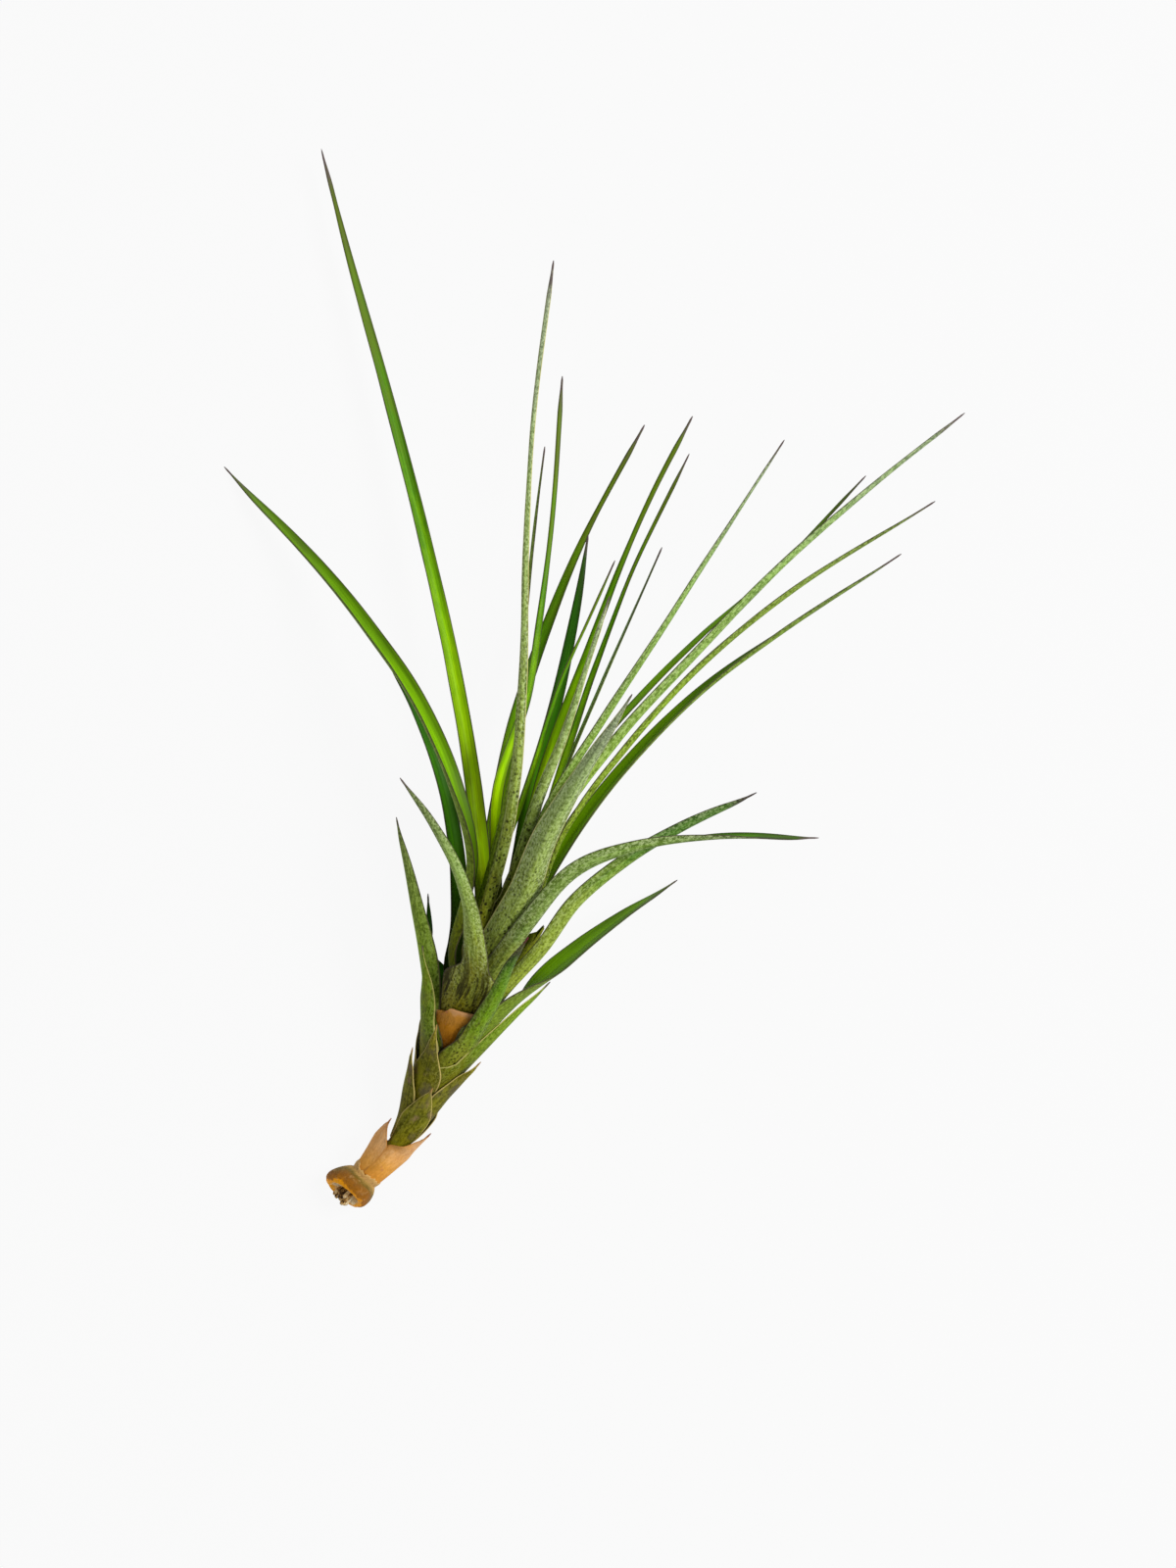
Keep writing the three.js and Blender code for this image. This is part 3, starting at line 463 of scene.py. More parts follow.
def tube(rows, ring, first=0):
    """Faces of a tube of rings of points, closed at both ends"""
    faces = []
    for row in range(rows):
        faces += band(first + row * ring, first + (row + 1) * ring, ring)
    last = first + rows * ring
    faces.append(tuple(range(first, first + ring))[::-1])
    faces.append(tuple(range(last, last + ring)))
    return faces


def mesh_object(node, points, faces, uv=None, floats=None):
    """A piece in metres, above the surface, with its map and its named values for each point"""
    name = node + "_fine"
    places = np.array(points) * MM
    places[:, 2] = np.maximum(places[:, 2], 0)
    mesh = bpy.data.meshes.new(name)
    mesh.from_pydata(places.tolist(), [], faces)
    mesh.polygons.foreach_set("use_smooth", [True] * len(mesh.polygons))
    if uv is not None:
        loops = np.zeros(len(mesh.loops), int)
        mesh.loops.foreach_get("vertex_index", loops)
        layer = mesh.uv_layers.new(name="blade_mm")
        layer.data.foreach_set("uv", np.asarray(uv, float)[loops].ravel())
    for key, values in (floats or {}).items():
        layer = mesh.attributes.new(key, "FLOAT", "POINT")
        layer.data.foreach_set("value", np.asarray(values, float))
    mesh.validate()
    if signed_volume(mesh) < 0:
        mesh.flip_normals()
    piece = bpy.data.objects.new(name, mesh)
    bpy.context.collection.objects.link(piece)
    return piece


def rim(margin, inside, thick):
    """Points that round a margin off, half the thickness further out"""
    outward = margin - inside
    return margin + outward / np.linalg.norm(outward, axis=1)[:, None] * thick / 2


def round_leaf(grid):
    """A value for each point round a leaf, from one for each column"""
    return np.concatenate([grid, grid[:, -1:], grid[:, ::-1], grid[:, :1]], axis=1).ravel()


def leaf_piece(leaf):
    """One finished leaf: upper face, rounded margins and lower face, closed at both ends"""
    seed = sum(map(ord, leaf["name"]))
    rib, grids = blade_rows(leaf, seed)
    middle, normal, thick, across = (torn(grid, leaf, seed) for grid in grids)
    rows = middle.shape[0] - 1
    shares = torn(np.linspace(0, 1, rows + 1)[:, None] * np.ones((1, COLUMNS + 1)), leaf, seed)
    half = thick[..., None] / 2 * normal
    upper = middle + half
    lower = middle - half
    right_rim = rim(middle[:, -1], middle[:, -2], thick[:, -1:])
    left_rim = rim(middle[:, 0], middle[:, 1], thick[:, :1])
    rings = np.concatenate([upper, right_rim[:, None], lower[:, ::-1], left_rim[:, None]], axis=1)
    edge = np.append(np.abs(np.linspace(-1, 1, COLUMNS + 1)), RIM_EDGE)
    under = np.repeat([0, 0.5, 1, 0.5], [COLUMNS + 1, 1, COLUMNS + 1, 1])
    along = round_leaf(shares)
    floats = {
        "along": along,
        "edge": np.tile(edge, 2 * (rows + 1)),
        "under": np.tile(under, rows + 1),
        "leaf_seed": np.full(len(along), seed % SEED_CYCLE * SEED_STEP),
    }
    uv = np.stack([along * rib.length, round_leaf(across)], axis=1)
    return mesh_object(leaf["name"], rings.reshape(-1, 3), tube(rows, rings.shape[1]), uv, floats)


def colour(hex_code):
    """A linear colour from the usual six-digit code"""
    channels = [int(hex_code[i:i + 2], 16) / 255 for i in (0, 2, 4)]
    return (*[c / 12.92 if c <= 0.04045 else ((c + 0.055) / 1.055) ** 2.4 for c in channels], 1.0)


class Shade:
    """A material's nodes, added one call at a time"""

    def __init__(self, name):
        self.material = bpy.data.materials.new(name)
        self.material.use_nodes = True
        self.tree = self.material.node_tree
        self.shader = self.tree.nodes["Principled BSDF"]

    def plug(self, socket, value):
        if isinstance(value, bpy.types.NodeSocket):
            self.tree.links.new(value, socket)
        else:
            socket.default_value = value

    def node(self, kind, inputs=None, **settings):
        added = self.tree.nodes.new("ShaderNode" + kind)
        for key, value in settings.items():
            setattr(added, key, value)
        for key, value in (inputs or {}).items():
            self.plug(added.inputs[key], value)
        return added

    def finish(self, **sockets):
        for key, value in sockets.items():
            self.plug(self.shader.inputs[key.replace("_", " ")], value)
        return self.material

    def attribute(self, name):
        return self.node("Attribute", attribute_name=name).outputs["Fac"]

    def math(self, operation, a, b):
        return self.node("Math", {0: a, 1: b}, operation=operation).outputs[0]

    def times(self, *values):
        result = values[0]
        for value in values[1:]:
            result = self.math("MULTIPLY", result, value)
        return result

    def mix(self, share, a, b, blend="MIX"):
        return self.node("Mix", {0: share, 6: a, 7: b}, data_type="RGBA", blend_type=blend).outputs[2]

    def blend(self, share, a, b):
        return self.node("Mix", {0: share, 2: a, 3: b}, data_type="FLOAT").outputs[0]

    def step(self, value, low, high, start=0.0, end=1.0):
        inputs = {"Value": value, "From Min": low, "From Max": high, "To Min": start, "To Max": end}
        return self.node("MapRange", inputs, interpolation_type="SMOOTHSTEP").outputs[0]

    def lit(self, surface, level):
        """A colour made lighter or darker by a level about 1"""
        grey = self.node("CombineColor", {0: level, 1: level, 2: level}).outputs[0]
        return self.mix(1.0, surface, grey, "MULTIPLY")

    def scaled(self, vector, scale):
        return self.node("VectorMath", {0: vector, 1: scale}, operation="MULTIPLY").outputs[0]

    def noise(self, vector, detail=2.0, roughness=0.5):
        inputs = {"Vector": vector, "Scale": 1.0, "Detail": detail, "Roughness": roughness}
        return self.node("TexNoise", inputs).outputs["Fac"]

    def ramp(self, value, stops):
        added = self.node("ValToRGB", {"Fac": value})
        elements = added.color_ramp.elements
        while len(elements) < len(stops):
            elements.new(0.5)
        for element, (place, code) in zip(elements, stops):
            element.position = place
            element.color = colour(code)
        return added.outputs["Color"]

    def bumps(self, height, distance, strength=1.0):
        inputs = {"Height": height, "Distance": distance * MM, "Strength": strength}
        return self.node("Bump", inputs).outputs["Normal"]

    def millimetres(self):
        return self.scaled(self.node("TexCoord").outputs["Object"], (1000, 1000, 1000))


SCALY_PALE = "c9d4a2"
SPECK = "1e1a06"
DULL = 0.08  # specular level, low because white surroundings would grey the greens
PALE_MARGIN = "c4bd78"

# What a look is unless it says otherwise. Colours run from base to tip of the upper and the lower face.
# silver: colour of the dry scales and of their painted sheen, and bloom: how much of the lower face they
# cover; specks: strength of the dark specks; patches: of the bruised areas; streaks: share of the leaf
# that dark streaks reach;
# vein: darkest and lightest of the fine lines on the lower face; dry: dead, papery tissue
PLAIN = dict(
    slot="leaf_green", silver="adbf70", margin="43372f", tip="5a4c4a", vein=(0.56, 1.34),
    patches=0, streaks=0, dry=False,
)
LOOKS = {
    "bright": dict(
        upper=[
            (0.0, "5c6a00"), (0.12, "88a200"), (0.3, "a0d000"), (0.45, "80b600"), (0.62, "4e8600"),
            (0.8, "5e7c10"), (1.0, "56641e"),
        ],
        lower=[(0.0, "71700a"), (0.15, "788c0c"), (0.5, "809e24"), (1.0, "6c7c40")],
        bloom=0.35, specks=0.9,
    ),
    "green": dict(
        upper=[(0.0, "5a6000"), (0.15, "709600"), (0.4, "76aa00"), (0.75, "5c880c"), (1.0, "4e6024")],
        lower=[(0.0, "6d6a06"), (0.2, "6c820a"), (0.6, "708f22"), (1.0, "60703c")],
        bloom=0.3, specks=0.5,
    ),
    "dark": dict(
        upper=[(0.0, "3e4800"), (0.25, "507c00"), (0.5, "3f7c04"), (0.8, "2a600c"), (1.0, "2f4a14")],
        lower=[(0.0, "5c5a0a"), (0.3, "4e6a14"), (1.0, "506630")],
        bloom=0.35, specks=0.4,
    ),
    "silver": dict(
        slot="leaf_silver",
        upper=[(0.0, "5f6a02"), (0.2, "6e8e04"), (0.6, "54880c"), (0.85, "3f6814"), (1.0, "3c4a20")],
        lower=[(0.0, "74700c"), (0.14, "7e8214"), (0.35, "76903a"), (0.7, "6c8c34"), (1.0, "606e48")],
        silver=SCALY_PALE, bloom=0.6, specks=0.5,
    ),
    "speckled": dict(
        slot="leaf_silver",
        upper=[(0.0, "5d6800"), (0.2, "749604"), (0.7, "6a9414"), (1.0, "5a6a30")],
        lower=[(0.0, "6e6a06"), (0.12, "7c800a"), (0.3, "94a83c"), (0.7, "90aa5a"), (1.0, "9aa48a")],
        silver="d2dcb6", bloom=0.5, specks=1.0, margin=PALE_MARGIN,
    ),
    "pale": dict(
        slot="leaf_silver",
        upper=[(0.0, "5f6a02"), (0.2, "6e8e04"), (0.6, "54880c"), (1.0, "4c5c2c")],
        lower=[(0.0, "70700c"), (0.15, "7c8c16"), (0.35, "7ea034"), (0.7, "7c9e4a"), (1.0, "7c8a6c")],
        silver=SCALY_PALE, bloom=0.42, specks=0.4,
    ),
    "twisted": dict(
        slot="leaf_silver",
        upper=[(0.0, "5d6800"), (0.3, "6e9404"), (0.7, "4c7a0c"), (1.0, "3c4c1c")],
        lower=[
            (0.0, "7a7a0c"), (0.3, "9aac30"), (0.55, "88a03a"), (0.7, "4e7c1c"), (0.93, "3c5c20"),
            (1.0, "3a3a2c"),
        ],
        silver=SCALY_PALE, bloom=0.34, specks=0.6, tip="3a302c",
    ),
    "sheathed": dict(
        slot="leaf_silver",
        upper=[(0.0, "5f6a02"), (0.2, "6b8c04"), (1.0, "3c4a20")],
        lower=[
            (0.0, "6a6400"), (0.2, "7c7604"), (0.3, "868818"), (0.42, "8fa238"), (0.7, "86a44a"),
            (1.0, "6c7c48"),
        ],
        silver=SCALY_PALE, bloom=0.5, specks=0.8, streaks=0.4,
    ),
    "scale": dict(
        slot="leaf_olive",
        upper=[(0.0, "6a6a0e"), (1.0, "7a7a20")],
        lower=[(0.0, "928806"), (0.25, "6e6804"), (0.6, "5f6006"), (0.85, "7e7812"), (1.0, "9c8c2a")],
        silver="a8a25a", bloom=0.3, specks=0.5, patches=1.0, margin="c4b06a", tip="9c7a44",
    ),
    "stalk": dict(
        upper=[(0.0, "5c6c02"), (1.0, "4f8a02")],
        lower=[(0.0, "706a0a"), (0.3, "6c6c06"), (0.55, "6c8800"), (0.85, "789a0a"), (1.0, "647a28")],
        bloom=0.26, specks=0.6, patches=0.4, margin="b4ac64",
    ),
    "hook": dict(
        upper=[(0.0, "5c6c02"), (1.0, "4f7a08")],
        lower=[
            (0.0, "706a10"), (0.25, "7a7e1c"), (0.5, "6e9a00"), (0.74, "4a7600"), (0.88, "2c4204"),
            (1.0, "4a1a1a"),
        ],
        silver="bcc28a", bloom=0.26, specks=1.0, patches=0.2, tip="6a2030",
    ),
    "olive": dict(
        slot="leaf_olive",
        upper=[(0.0, "66640e"), (0.5, "848c00"), (1.0, "8c9a00")],
        lower=[(0.0, "6a6606"), (0.5, "7e8604"), (1.0, "8c9400")],
        silver="a3a860", bloom=0.12, specks=0.3, patches=0.4, margin="c0b03a", tip="8f7a30",
    ),
    "dry": dict(
        slot="leaf_dry",
        upper=[(0.0, "b98a4a"), (1.0, "caa06a")],
        lower=[(0.0, "cc8830"), (0.25, "dc9c44"), (0.5, "e0a562"), (0.8, "e2b07a"), (1.0, "c89060")],
        silver="e8cfa4", bloom=0.15, specks=0.0, dry=True, vein=(0.88, 1.1), margin="b07838", tip="8a5236",
    ),
    "dead": dict(
        slot="leaf_dead",
        upper=[(0.0, "8a4a10"), (1.0, "b07430")],
        lower=[(0.0, "5e3400"), (0.4, "8a5000"), (0.72, "b07208"), (0.92, "c48a38"), (1.0, "d8aa78")],
        silver="d0a070", bloom=0.15, specks=0.3, dry=True, vein=(0.8, 1.15), margin="d4ae80", tip="c89460",
    ),
}


class Blade:
    """The attributes and patterns that leaf materials share, scaled per millimetre along and across"""

    def __init__(self, s):
        flat = s.node("SeparateXYZ", {0: s.node("UVMap", uv_map="blade_mm").outputs["UV"]})
        depth = s.attribute("leaf_seed")
        place = s.node("CombineXYZ", {0: flat.outputs[0], 1: flat.outputs[1], 2: depth}).outputs[0]
        self.place = place
        self.along = s.attribute("along")
        self.edge = s.attribute("edge")
        self.under = s.attribute("under")
        self.striae = s.noise(s.scaled(place, (0.05, 3.6, 1)), 3)
        self.bands = s.noise(s.scaled(place, (0.012, 1.1, 1)), 1)
        self.cloud = s.noise(s.scaled(place, (0.13, 0.45, 1)), 3, 0.6)
        self.grain = s.noise(s.scaled(place, (1.5, 2.1, 1)), 3, 0.75)
        self.cover = s.noise(s.scaled(place, (0.5, 0.8, 1)), 2, 0.6)


def upper_face(s, blade, look):
    """Smooth and bright, with grooves along it, lightest beside the midrib"""
    place = s.math("ADD", blade.along, s.step(blade.cloud, 0.2, 0.8, -0.1, 0.1))
    groove = s.step(s.blend(0.45, blade.striae, blade.bands), 0.3, 0.7, 0.72, 1.28)
    trough = s.step(blade.edge, 0.1, 0.95, 1.12, 0.66)
    return s.lit(s.ramp(place, look["upper"]), s.times(groove, trough))


def lower_face(s, blade, look):
    """Silvery scales over green, laid on more thickly towards the margins, where part of that is painted
    sheen; painted shade on the sides towards the margins; and dark specks near the base
    """
    place = s.math("ADD", blade.along, s.step(blade.cloud, 0.2, 0.8, -0.08, 0.08))
    vein = s.step(s.blend(0.6, blade.striae, blade.grain), 0.38, 0.62, *look["vein"])
    # painted shade: the lower face is darkened towards its margins, as if its convex sides turned away
    # from the light
    side = s.step(blade.edge, 0.35, 1.0, 1.0, 0.72)
    lower = s.lit(s.ramp(place, look["lower"]), s.times(vein, side))
    # partly real scales, partly painted sheen: the scales' pale colour covers more of the face towards the
    # margins, in place of their sheen at a grazing view
    thick = s.times(s.step(blade.grain, 0.42, 0.62), s.step(blade.edge, 0.0, 0.8, 0.45, 1.0))
    bare = s.step(blade.along, 0.08, 0.42, 0.08, 1.0)
    scales_and_sheen = s.times(thick, bare, s.step(blade.cover, 0.3, 0.7, 0.6, 1.1), look["bloom"])
    return speckled(s, blade, s.mix(scales_and_sheen, lower, colour(look["silver"])), look)


def speckled(s, blade, surface, look):
    cells = s.node("TexVoronoi", {"Vector": s.scaled(blade.place, (1.1, 1.7, 1)), "Scale": 1.0})
    chance = s.node("SeparateColor", {0: cells.outputs["Color"]}).outputs[0]
    spot = s.times(s.step(cells.outputs["Distance"], 0.26, 0.48, 1, 0), s.step(chance, 0.15, 0.3))
    crowd = s.times(s.step(blade.along, 0.05, 0.8, 1.0, 0.15), s.step(blade.cover, 0.3, 0.55))
    return s.mix(s.times(spot, crowd, look["specks"]), surface, colour(SPECK))


def streaked(s, blade, surface, reach):
    """Dark brown streaks up a sheath, as far as the given share of the leaf"""
    run = s.noise(s.scaled(blade.place, (0.09, 0.8, 1.7)), 2, 0.6)
    low = s.step(blade.along, reach * 0.6, reach * 1.2, 0.95, 0)
    return s.mix(s.times(s.step(run, 0.46, 0.6), low), surface, colour("2a2408"))


# Soft patches on scale leaves and on dry tissue: scale along, across and from leaf to leaf, colour,
# level of the noise from which they show, and strength
BRUISES = [
    ((0.16, 0.2, 1.3), "5c5240", 0.52, 0.7),
    ((0.11, 0.26, 2.1), "8c8a1a", 0.5, 0.6),
    ((0.22, 0.32, 3.7), "8d7058", 0.58, 0.6),
]
STAINS = [
    ((0.16, 0.22, 1.1), "cf8a28", 0.5, 0.6),
    ((0.35, 0.5, 2.3), "b5695c", 0.6, 0.7),
    ((0.5, 0.7, 4.1), "6d2a1e", 0.66, 0.9),
]


def patched(s, blade, surface, patches, softness, amount):
    for scale, code, low, share in patches:
        patch = s.step(s.noise(s.scaled(blade.place, scale), 3, 0.6), low, low + softness)
        surface = s.mix(s.times(patch, share * amount), surface, colour(code))
    return surface


def leaf_material(name, look):
    """A blade's two faces, its margins and its tip"""
    s = Shade("leaf_" + name)
    blade = Blade(s)
    surface = s.mix(blade.under, upper_face(s, blade, look), lower_face(s, blade, look))
    if look["streaks"]:
        surface = streaked(s, blade, surface, look["streaks"])
    if look["patches"]:
        surface = patched(s, blade, surface, BRUISES, 0.16, look["patches"])
    if look["dry"]:
        surface = patched(s, blade, surface, STAINS, 0.12, 0.7)
    surface = s.mix(s.step(blade.edge, 0.9, 1.0, 0, 0.85), surface, colour(look["margin"]))
    tip = s.step(s.math("ADD", blade.along, s.step(blade.cover, 0.2, 0.8, -0.02, 0.02)), 0.93, 0.995)
    surface = s.mix(tip, surface, colour(look["tip"]))
    relief = s.blend(blade.under, blade.striae, s.blend(0.5, blade.striae, blade.grain))
    smooth = s.step(blade.striae, 0.3, 0.7, 0.36, 0.5)
    rough = s.blend(blade.under, smooth, s.step(blade.grain, 0.3, 0.7, 0.55, 0.75))
    normal = s.bumps(relief, 0.09 if look["dry"] else 0.06, 0.9)
    return s.finish(Base_Color=surface, Roughness=rough, Normal=normal, Specular_IOR_Level=DULL)


# The foot's collar: a dry sleeve whose end has curled out and over. It is torn off at a slant.
COLLAR_SLANT = 0.45
COLLAR_WAVE = 0.3
COLLAR_PROFILE = [
    (6.8, 1.95), (6.0, 2.5), (5.4, 3.2), (4.6, 4.0), (3.5, 4.65), (2.3, 4.92), (1.2, 4.75),
    (0.5, 4.25), (0.25, 3.65), (0.55, 3.2), (1.2, 2.9), (2.4, 2.45), (3.6, 1.8), (6.6, 1.5),
]
COLLAR_SIDES = 132
COLLAR_ROWS = 84
COLLAR_TILT = 0.14
COLLAR_OVAL = 0.07
CREASE_DEPTH = 0.42
CURL_RADIUS = 2.9  # the sleeve curls out beyond this radius
MOUTH_STATION = 5.3  # the mouth opens from here towards the foot

# Torn flaps of the dead sleeve that stand up round the dry sheaths: station and radius of the wall
FLAP_PROFILE = [(4.8, 3.1), (5.8, 3.3), (6.9, 3.5), (7.0, 3.36), (5.8, 3.05), (4.7, 2.7)]
FLAP_RAGGED = 1.3
FLAP_ROWS = 16


def collar_point(station, radius, angle):
    """A point of the collar, whose curl waves and whose mouth is slanted and oval"""
    flared = min(1, max(0, (radius - CURL_RADIUS) / 2)) * (station < 5)
    opened = smoothstep(MOUTH_STATION - station, 0, 3)
    wave = COLLAR_WAVE * flared * math.sin(3 * angle + 0.8)
    lean = COLLAR_SLANT * math.cos(angle) + COLLAR_TILT * (math.sin(angle) - 1)
    oval = 1 + COLLAR_OVAL * opened * (1 - math.sin(angle))
    return about_stem(station + lean * radius * opened, angle, radius * oval + wave)


def creases(angle, share):
    """0 to 1: lengthwise folds of dry tissue, deepest where the collar rolls over"""
    turned = Vector((math.cos(angle) * 3.2, math.sin(angle) * 3.2, share * 1.5))
    fine = Vector((math.cos(angle) * 9, math.sin(angle) * 9, share * 5 + 7))
    return 0.5 + 0.36 * noise.noise(turned) + 0.22 * noise.noise(fine)


def crumpled_ring(profile, rows, place):
    """Points, faces, shares and angles of a closed wall round the stem, from a loop of its section"""
    line = Curve([(s, r, 0) for s, r in profile])
    turns = np.arange(COLLAR_SIDES) / COLLAR_SIDES * 2 * math.pi
    points = []
    faces = []
    for row in range(rows):
        share = row / (rows - 1)
        station, radius, _ = line.at(share)
        points += [place(station, radius, angle, share) for angle in turns]
        faces += band(row * COLLAR_SIDES, (row + 1) % rows * COLLAR_SIDES, COLLAR_SIDES)
    shares = np.repeat(np.arange(rows) / (rows - 1), COLLAR_SIDES)
    return np.array(points), faces, shares, np.tile(turns, rows)


def roll_place(station, radius, angle, share):
    depth = CREASE_DEPTH * creases(angle, share) * smoothstep(radius, 2.0, 3.4)
    return collar_point(station, radius - depth, angle)


def flap_place(station, radius, angle, share):
    turned = Vector((math.cos(angle) * 1.6, math.sin(angle) * 1.6, 3.1))
    fine = Vector((math.cos(angle) * 7, math.sin(angle) * 7, 5.2))
    ragged = FLAP_RAGGED * (noise.noise(turned) + 0.4 * noise.noise(fine)) * smoothstep(station, 5, 7)
    return about_stem(station + ragged - 0.4, angle, radius - 0.25 * creases(angle, share))


def foot_collar():
    """The curled ring and the torn flaps above it, with creases pressed into both"""
    points, faces, shares, angles = crumpled_ring(COLLAR_PROFILE, COLLAR_ROWS, roll_place)
    more, flaps, reach, turns = crumpled_ring(FLAP_PROFILE, FLAP_ROWS, flap_place)
    faces += [tuple(len(points) + corner for corner in face) for face in flaps]
    points = np.concatenate([points, more])
    shares = np.concatenate([shares, 0.12 * reach])
    angles = np.concatenate([angles, turns])
    uv = np.stack([shares * 15, angles * 4], axis=1)
    return mesh_object("foot_collar", points, faces, uv, {"along": shares})


def collar_material():
    """Brown outside, orange on the rim, cream and then dark in the throat, where the dark is painted shade
    """
    s = Shade("collar")
    along = s.attribute("along")
    place = s.millimetres()
    patchy = s.noise(s.scaled(place, (0.32, 0.32, 0.32)), 4, 0.6)
    fibres = s.noise(s.scaled(place, (1.6, 1.6, 1.6)), 4, 0.7)
    shifted = s.math("ADD", along, s.step(patchy, 0.25, 0.75, -0.05, 0.05))
    # the last, dark stop is painted shade in the throat, the recess between the roll and the stem
    base = s.ramp(shifted, [
        (0.0, "d0a464"), (0.16, "a88648"), (0.26, "6e5a20"), (0.38, "8e5c1e"), (0.475, "b4700c"),
        (0.5, "ffa600"), (0.57, "ffae06"), (0.595, "ffeabc"), (0.67, "f6dcaa"), (0.73, "3a2614"),
    ])
    flecks = s.step(fibres, 0.5, 0.72)
    base = s.mix(s.times(flecks, 0.3), base, colour("5c3a20"))
    pale = s.step(s.noise(s.scaled(place, (0.7, 0.7, 0.7)), 3, 0.6), 0.55, 0.7)
    base = s.mix(s.times(pale, 0.35), base, colour("cfa26a"))
    rough = s.step(fibres, 0.3, 0.7, 0.5, 0.75)
    return s.finish(Base_Color=base, Roughness=rough, Normal=s.bumps(fibres, 0.12), Specular_IOR_Level=0.1)


PITH_REACH = (-2.1, 3.0)
PITH_RADIUS = 2.1
FIBRES = 26
FIBRE_SIDES = 7
GOLDEN_TURN = 2.39996  # radians from fibre to fibre


def drawn(k, series):
    """A fixed number from 0 to 1 that looks random"""
    return 0.5 + 0.5 * noise.cell(Vector((k * 1.7, series, 0.5)))


def fibre_rows(k):
    """Station, spread and thickness at each row of one broken fibre"""
    end = lerp(0.6, PITH_REACH[0], drawn(k, 3.3) ** 0.6)
    thick = 0.34 + 0.3 * drawn(k, 8.1)
    stations = [PITH_REACH[1], 1.4, lerp(1.4, end, 0.5), lerp(1.4, end, 0.85), end]
    spreads = (0.62, 0.86, 1.0, 1.06, 1.0)
    widths = (0.6, 0.9, 1.1, 1.0, 0.55)
    return [(s, out, thick * w) for s, out, w in zip(stations, spreads, widths)]


def pith():
    """A bundle of stiff, broken fibres that end at different heights"""
    points = []
    faces = []
    tones = []
    for k in range(FIBRES):
        spread = PITH_RADIUS * 0.8 * math.sqrt((k + 0.5) / FIBRES)
        rows = fibre_rows(k)
        faces += tube(len(rows) - 1, FIBRE_SIDES, len(points))
        tones += [drawn(k, 1.4)] * (len(rows) * FIBRE_SIDES)
        for row, (station, out, thick) in enumerate(rows):
            centre = about_stem(station, k * GOLDEN_TURN, spread * out)
            _, _, right, above = stem_at(station)
            for corner in range(FIBRE_SIDES):
                around = corner / FIBRE_SIDES * 2 * math.pi
                width = thick * (1 + 0.45 * noise.noise(Vector((corner * 1.3, row * 0.9, k * 5.7))))
                points.append(centre + width * (above * math.cos(around) + right * math.sin(around)))
    return mesh_object("pith", points, faces, None, {"tone": tones})


def pith_material():
    """Whitish and dark brown fibres"""
    s = Shade("pith")
    place = s.millimetres()
    grain = s.noise(place, 4, 0.7)
    spread = s.math("ADD", s.attribute("tone"), s.step(grain, 0.3, 0.7, -0.25, 0.25))
    base = s.ramp(spread, [
        (0.0, "1c120a"), (0.22, "3c2410"), (0.36, "9a7038"), (0.5, "d4b074"), (1.0, "f6e4bc"),
    ])
    rough = s.step(grain, 0.3, 0.7, 0.6, 0.85)
    return s.finish(Base_Color=base, Roughness=rough, Normal=s.bumps(grain, 0.08), Specular_IOR_Level=DULL)


STEM_REACH = (3.2, 70.4)
STEM_ROWS = 60
STEM_SIDES = 24
STEM_DENTS = 0.08


def stem_core():
    """The stem itself, hidden by the sheaths but for a sliver at the neck"""
    points = []
    for row in range(STEM_ROWS + 1):
        station = lerp(*STEM_REACH, row / STEM_ROWS)
        for side in range(STEM_SIDES):
            angle = side / STEM_SIDES * 2 * math.pi
            place = Vector((station * 0.8, math.cos(angle) * 2, math.sin(angle) * 2))
            radius = stem_radius(station) - STEM_DENTS * (1 + noise.noise(place))
            points.append(about_stem(station, angle, radius))
    return mesh_object("stem_core", points, tube(STEM_ROWS, STEM_SIDES))


def stem_material():
    """Dull brown, fibrous"""
    s = Shade("stem")
    place = s.millimetres()
    grain = s.noise(s.scaled(place, (1.2, 0.5, 1.2)), 4, 0.65)
    base = s.ramp(grain, [(0.25, "5a4426"), (0.5, "86683c"), (0.75, "a8895a")])
    rough = s.step(grain, 0.3, 0.7, 0.6, 0.8)
    return s.finish(Base_Color=base, Roughness=rough, Normal=s.bumps(grain, 0.1))


# The studio, in metres and watts: a glowing table, white surroundings and two soft lights
FLOOR_SIZE = 6
FLOOR_GLOW = 0.925
WORLD_LIGHT = 0.28
AIM = (0, -0.02, 0.02)
KEY_LIGHT = dict(place=(0.7, 0.15, 0.85), size=0.5, watts=13.5)
FILL_LIGHT = dict(place=(-0.8, -0.3, 0.7), size=0.7, watts=1.2)
LENS = 150
SENSOR = (27, 36)
CAMERA_PLACE = (-1.2 * MM, -21.2 * MM, 1353.3 * MM)


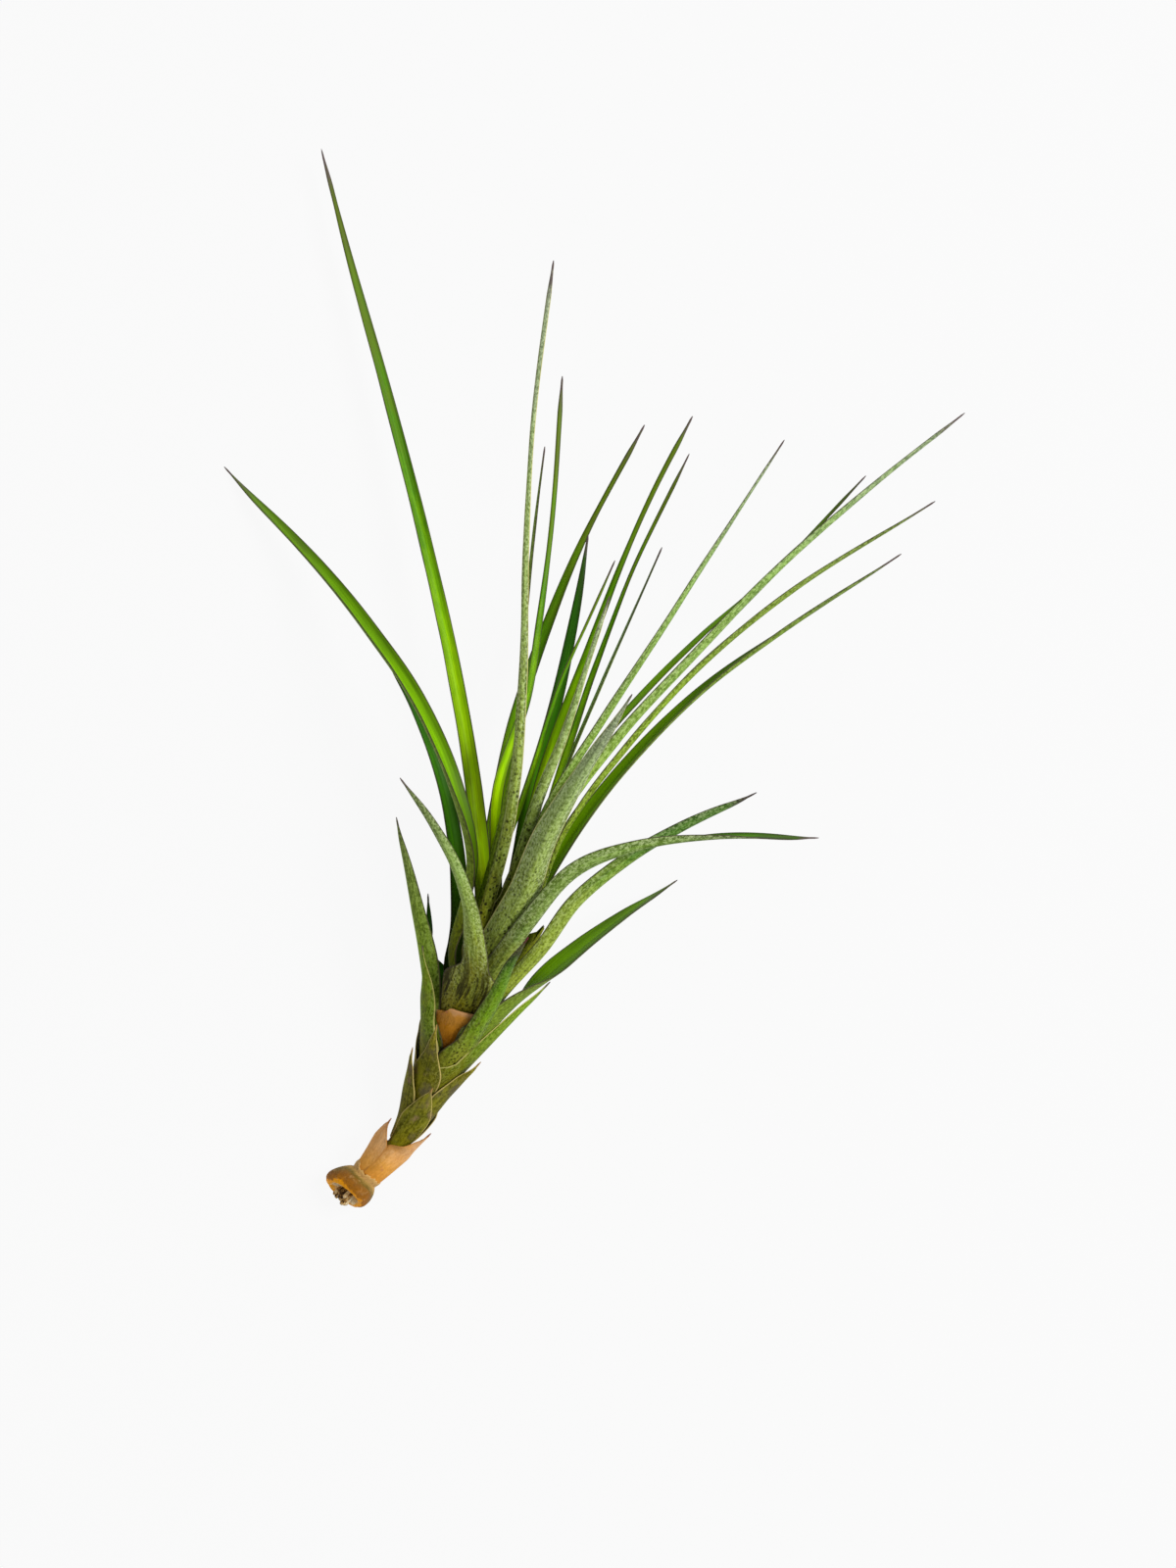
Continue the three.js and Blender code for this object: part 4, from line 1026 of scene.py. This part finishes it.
def studio_floor():
    """A pale light table: it glows evenly, so that hardly a shadow shows on it"""
    bpy.ops.mesh.primitive_plane_add(size=FLOOR_SIZE, location=(0, 0, 0))
    floor = bpy.context.object
    floor.name = "studio_floor"
    s = Shade("floor")
    tint = s.ramp(s.noise(s.node("TexCoord").outputs["Object"]), [(0.0, "2c2c2c"), (1.0, "303030")])
    s.finish(Base_Color=tint, Roughness=0.9, Specular_IOR_Level=0.0)
    s.finish(Emission_Color=(1, 1, 1, 1), Emission_Strength=FLOOR_GLOW)
    floor.data.materials.append(s.material)


def soft_light(name, place, size, watts):
    data = bpy.data.lights.new(name, "AREA")
    data.shape = "DISK"
    data.size = size
    data.energy = watts
    light = bpy.data.objects.new(name, data)
    light.location = place
    light.rotation_euler = (Vector(AIM) - Vector(place)).to_track_quat("-Z", "Y").to_euler()
    bpy.context.collection.objects.link(light)


def studio_lights():
    """White surroundings and a large soft light from the upper right"""
    world = bpy.data.worlds.new("studio")
    bpy.context.scene.world = world
    world.use_nodes = True
    world.node_tree.nodes["Background"].inputs["Color"].default_value = (1, 1, 1, 1)
    world.node_tree.nodes["Background"].inputs["Strength"].default_value = WORLD_LIGHT
    soft_light("key", **KEY_LIGHT)
    soft_light("fill", **FILL_LIGHT)


def overhead_camera():
    """Straight down, with the tallest leaf towards the top of the picture"""
    data = bpy.data.cameras.new("overhead")
    data.sensor_fit = "VERTICAL"
    data.sensor_width, data.sensor_height = SENSOR
    data.lens = LENS
    data.clip_end = 10
    camera = bpy.data.objects.new("overhead", data)
    camera.location = CAMERA_PLACE
    camera.rotation_euler = Euler((0, 0, 0))
    bpy.context.collection.objects.link(camera)
    bpy.context.scene.camera = camera


def present(piece, node, slot, material):
    """Puts a finished piece in place of its solid"""
    piece.data.materials.append(material)
    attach(piece, "root")
    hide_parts(node)


looks = {name: {**PLAIN, **look} for name, look in LOOKS.items()}
materials = {name: leaf_material(name, look) for name, look in looks.items()}
for leaf in LEAVES:
    look = leaf["look"]
    present(leaf_piece(leaf), leaf["name"], looks[look]["slot"], materials[look])
present(foot_collar(), "foot_collar", "collar", collar_material())
present(pith(), "pith", "pith", pith_material())
present(stem_core(), "stem_core", "stem", stem_material())
studio_floor()
studio_lights()
overhead_camera()
bpy.context.scene.view_settings.view_transform = "Standard"
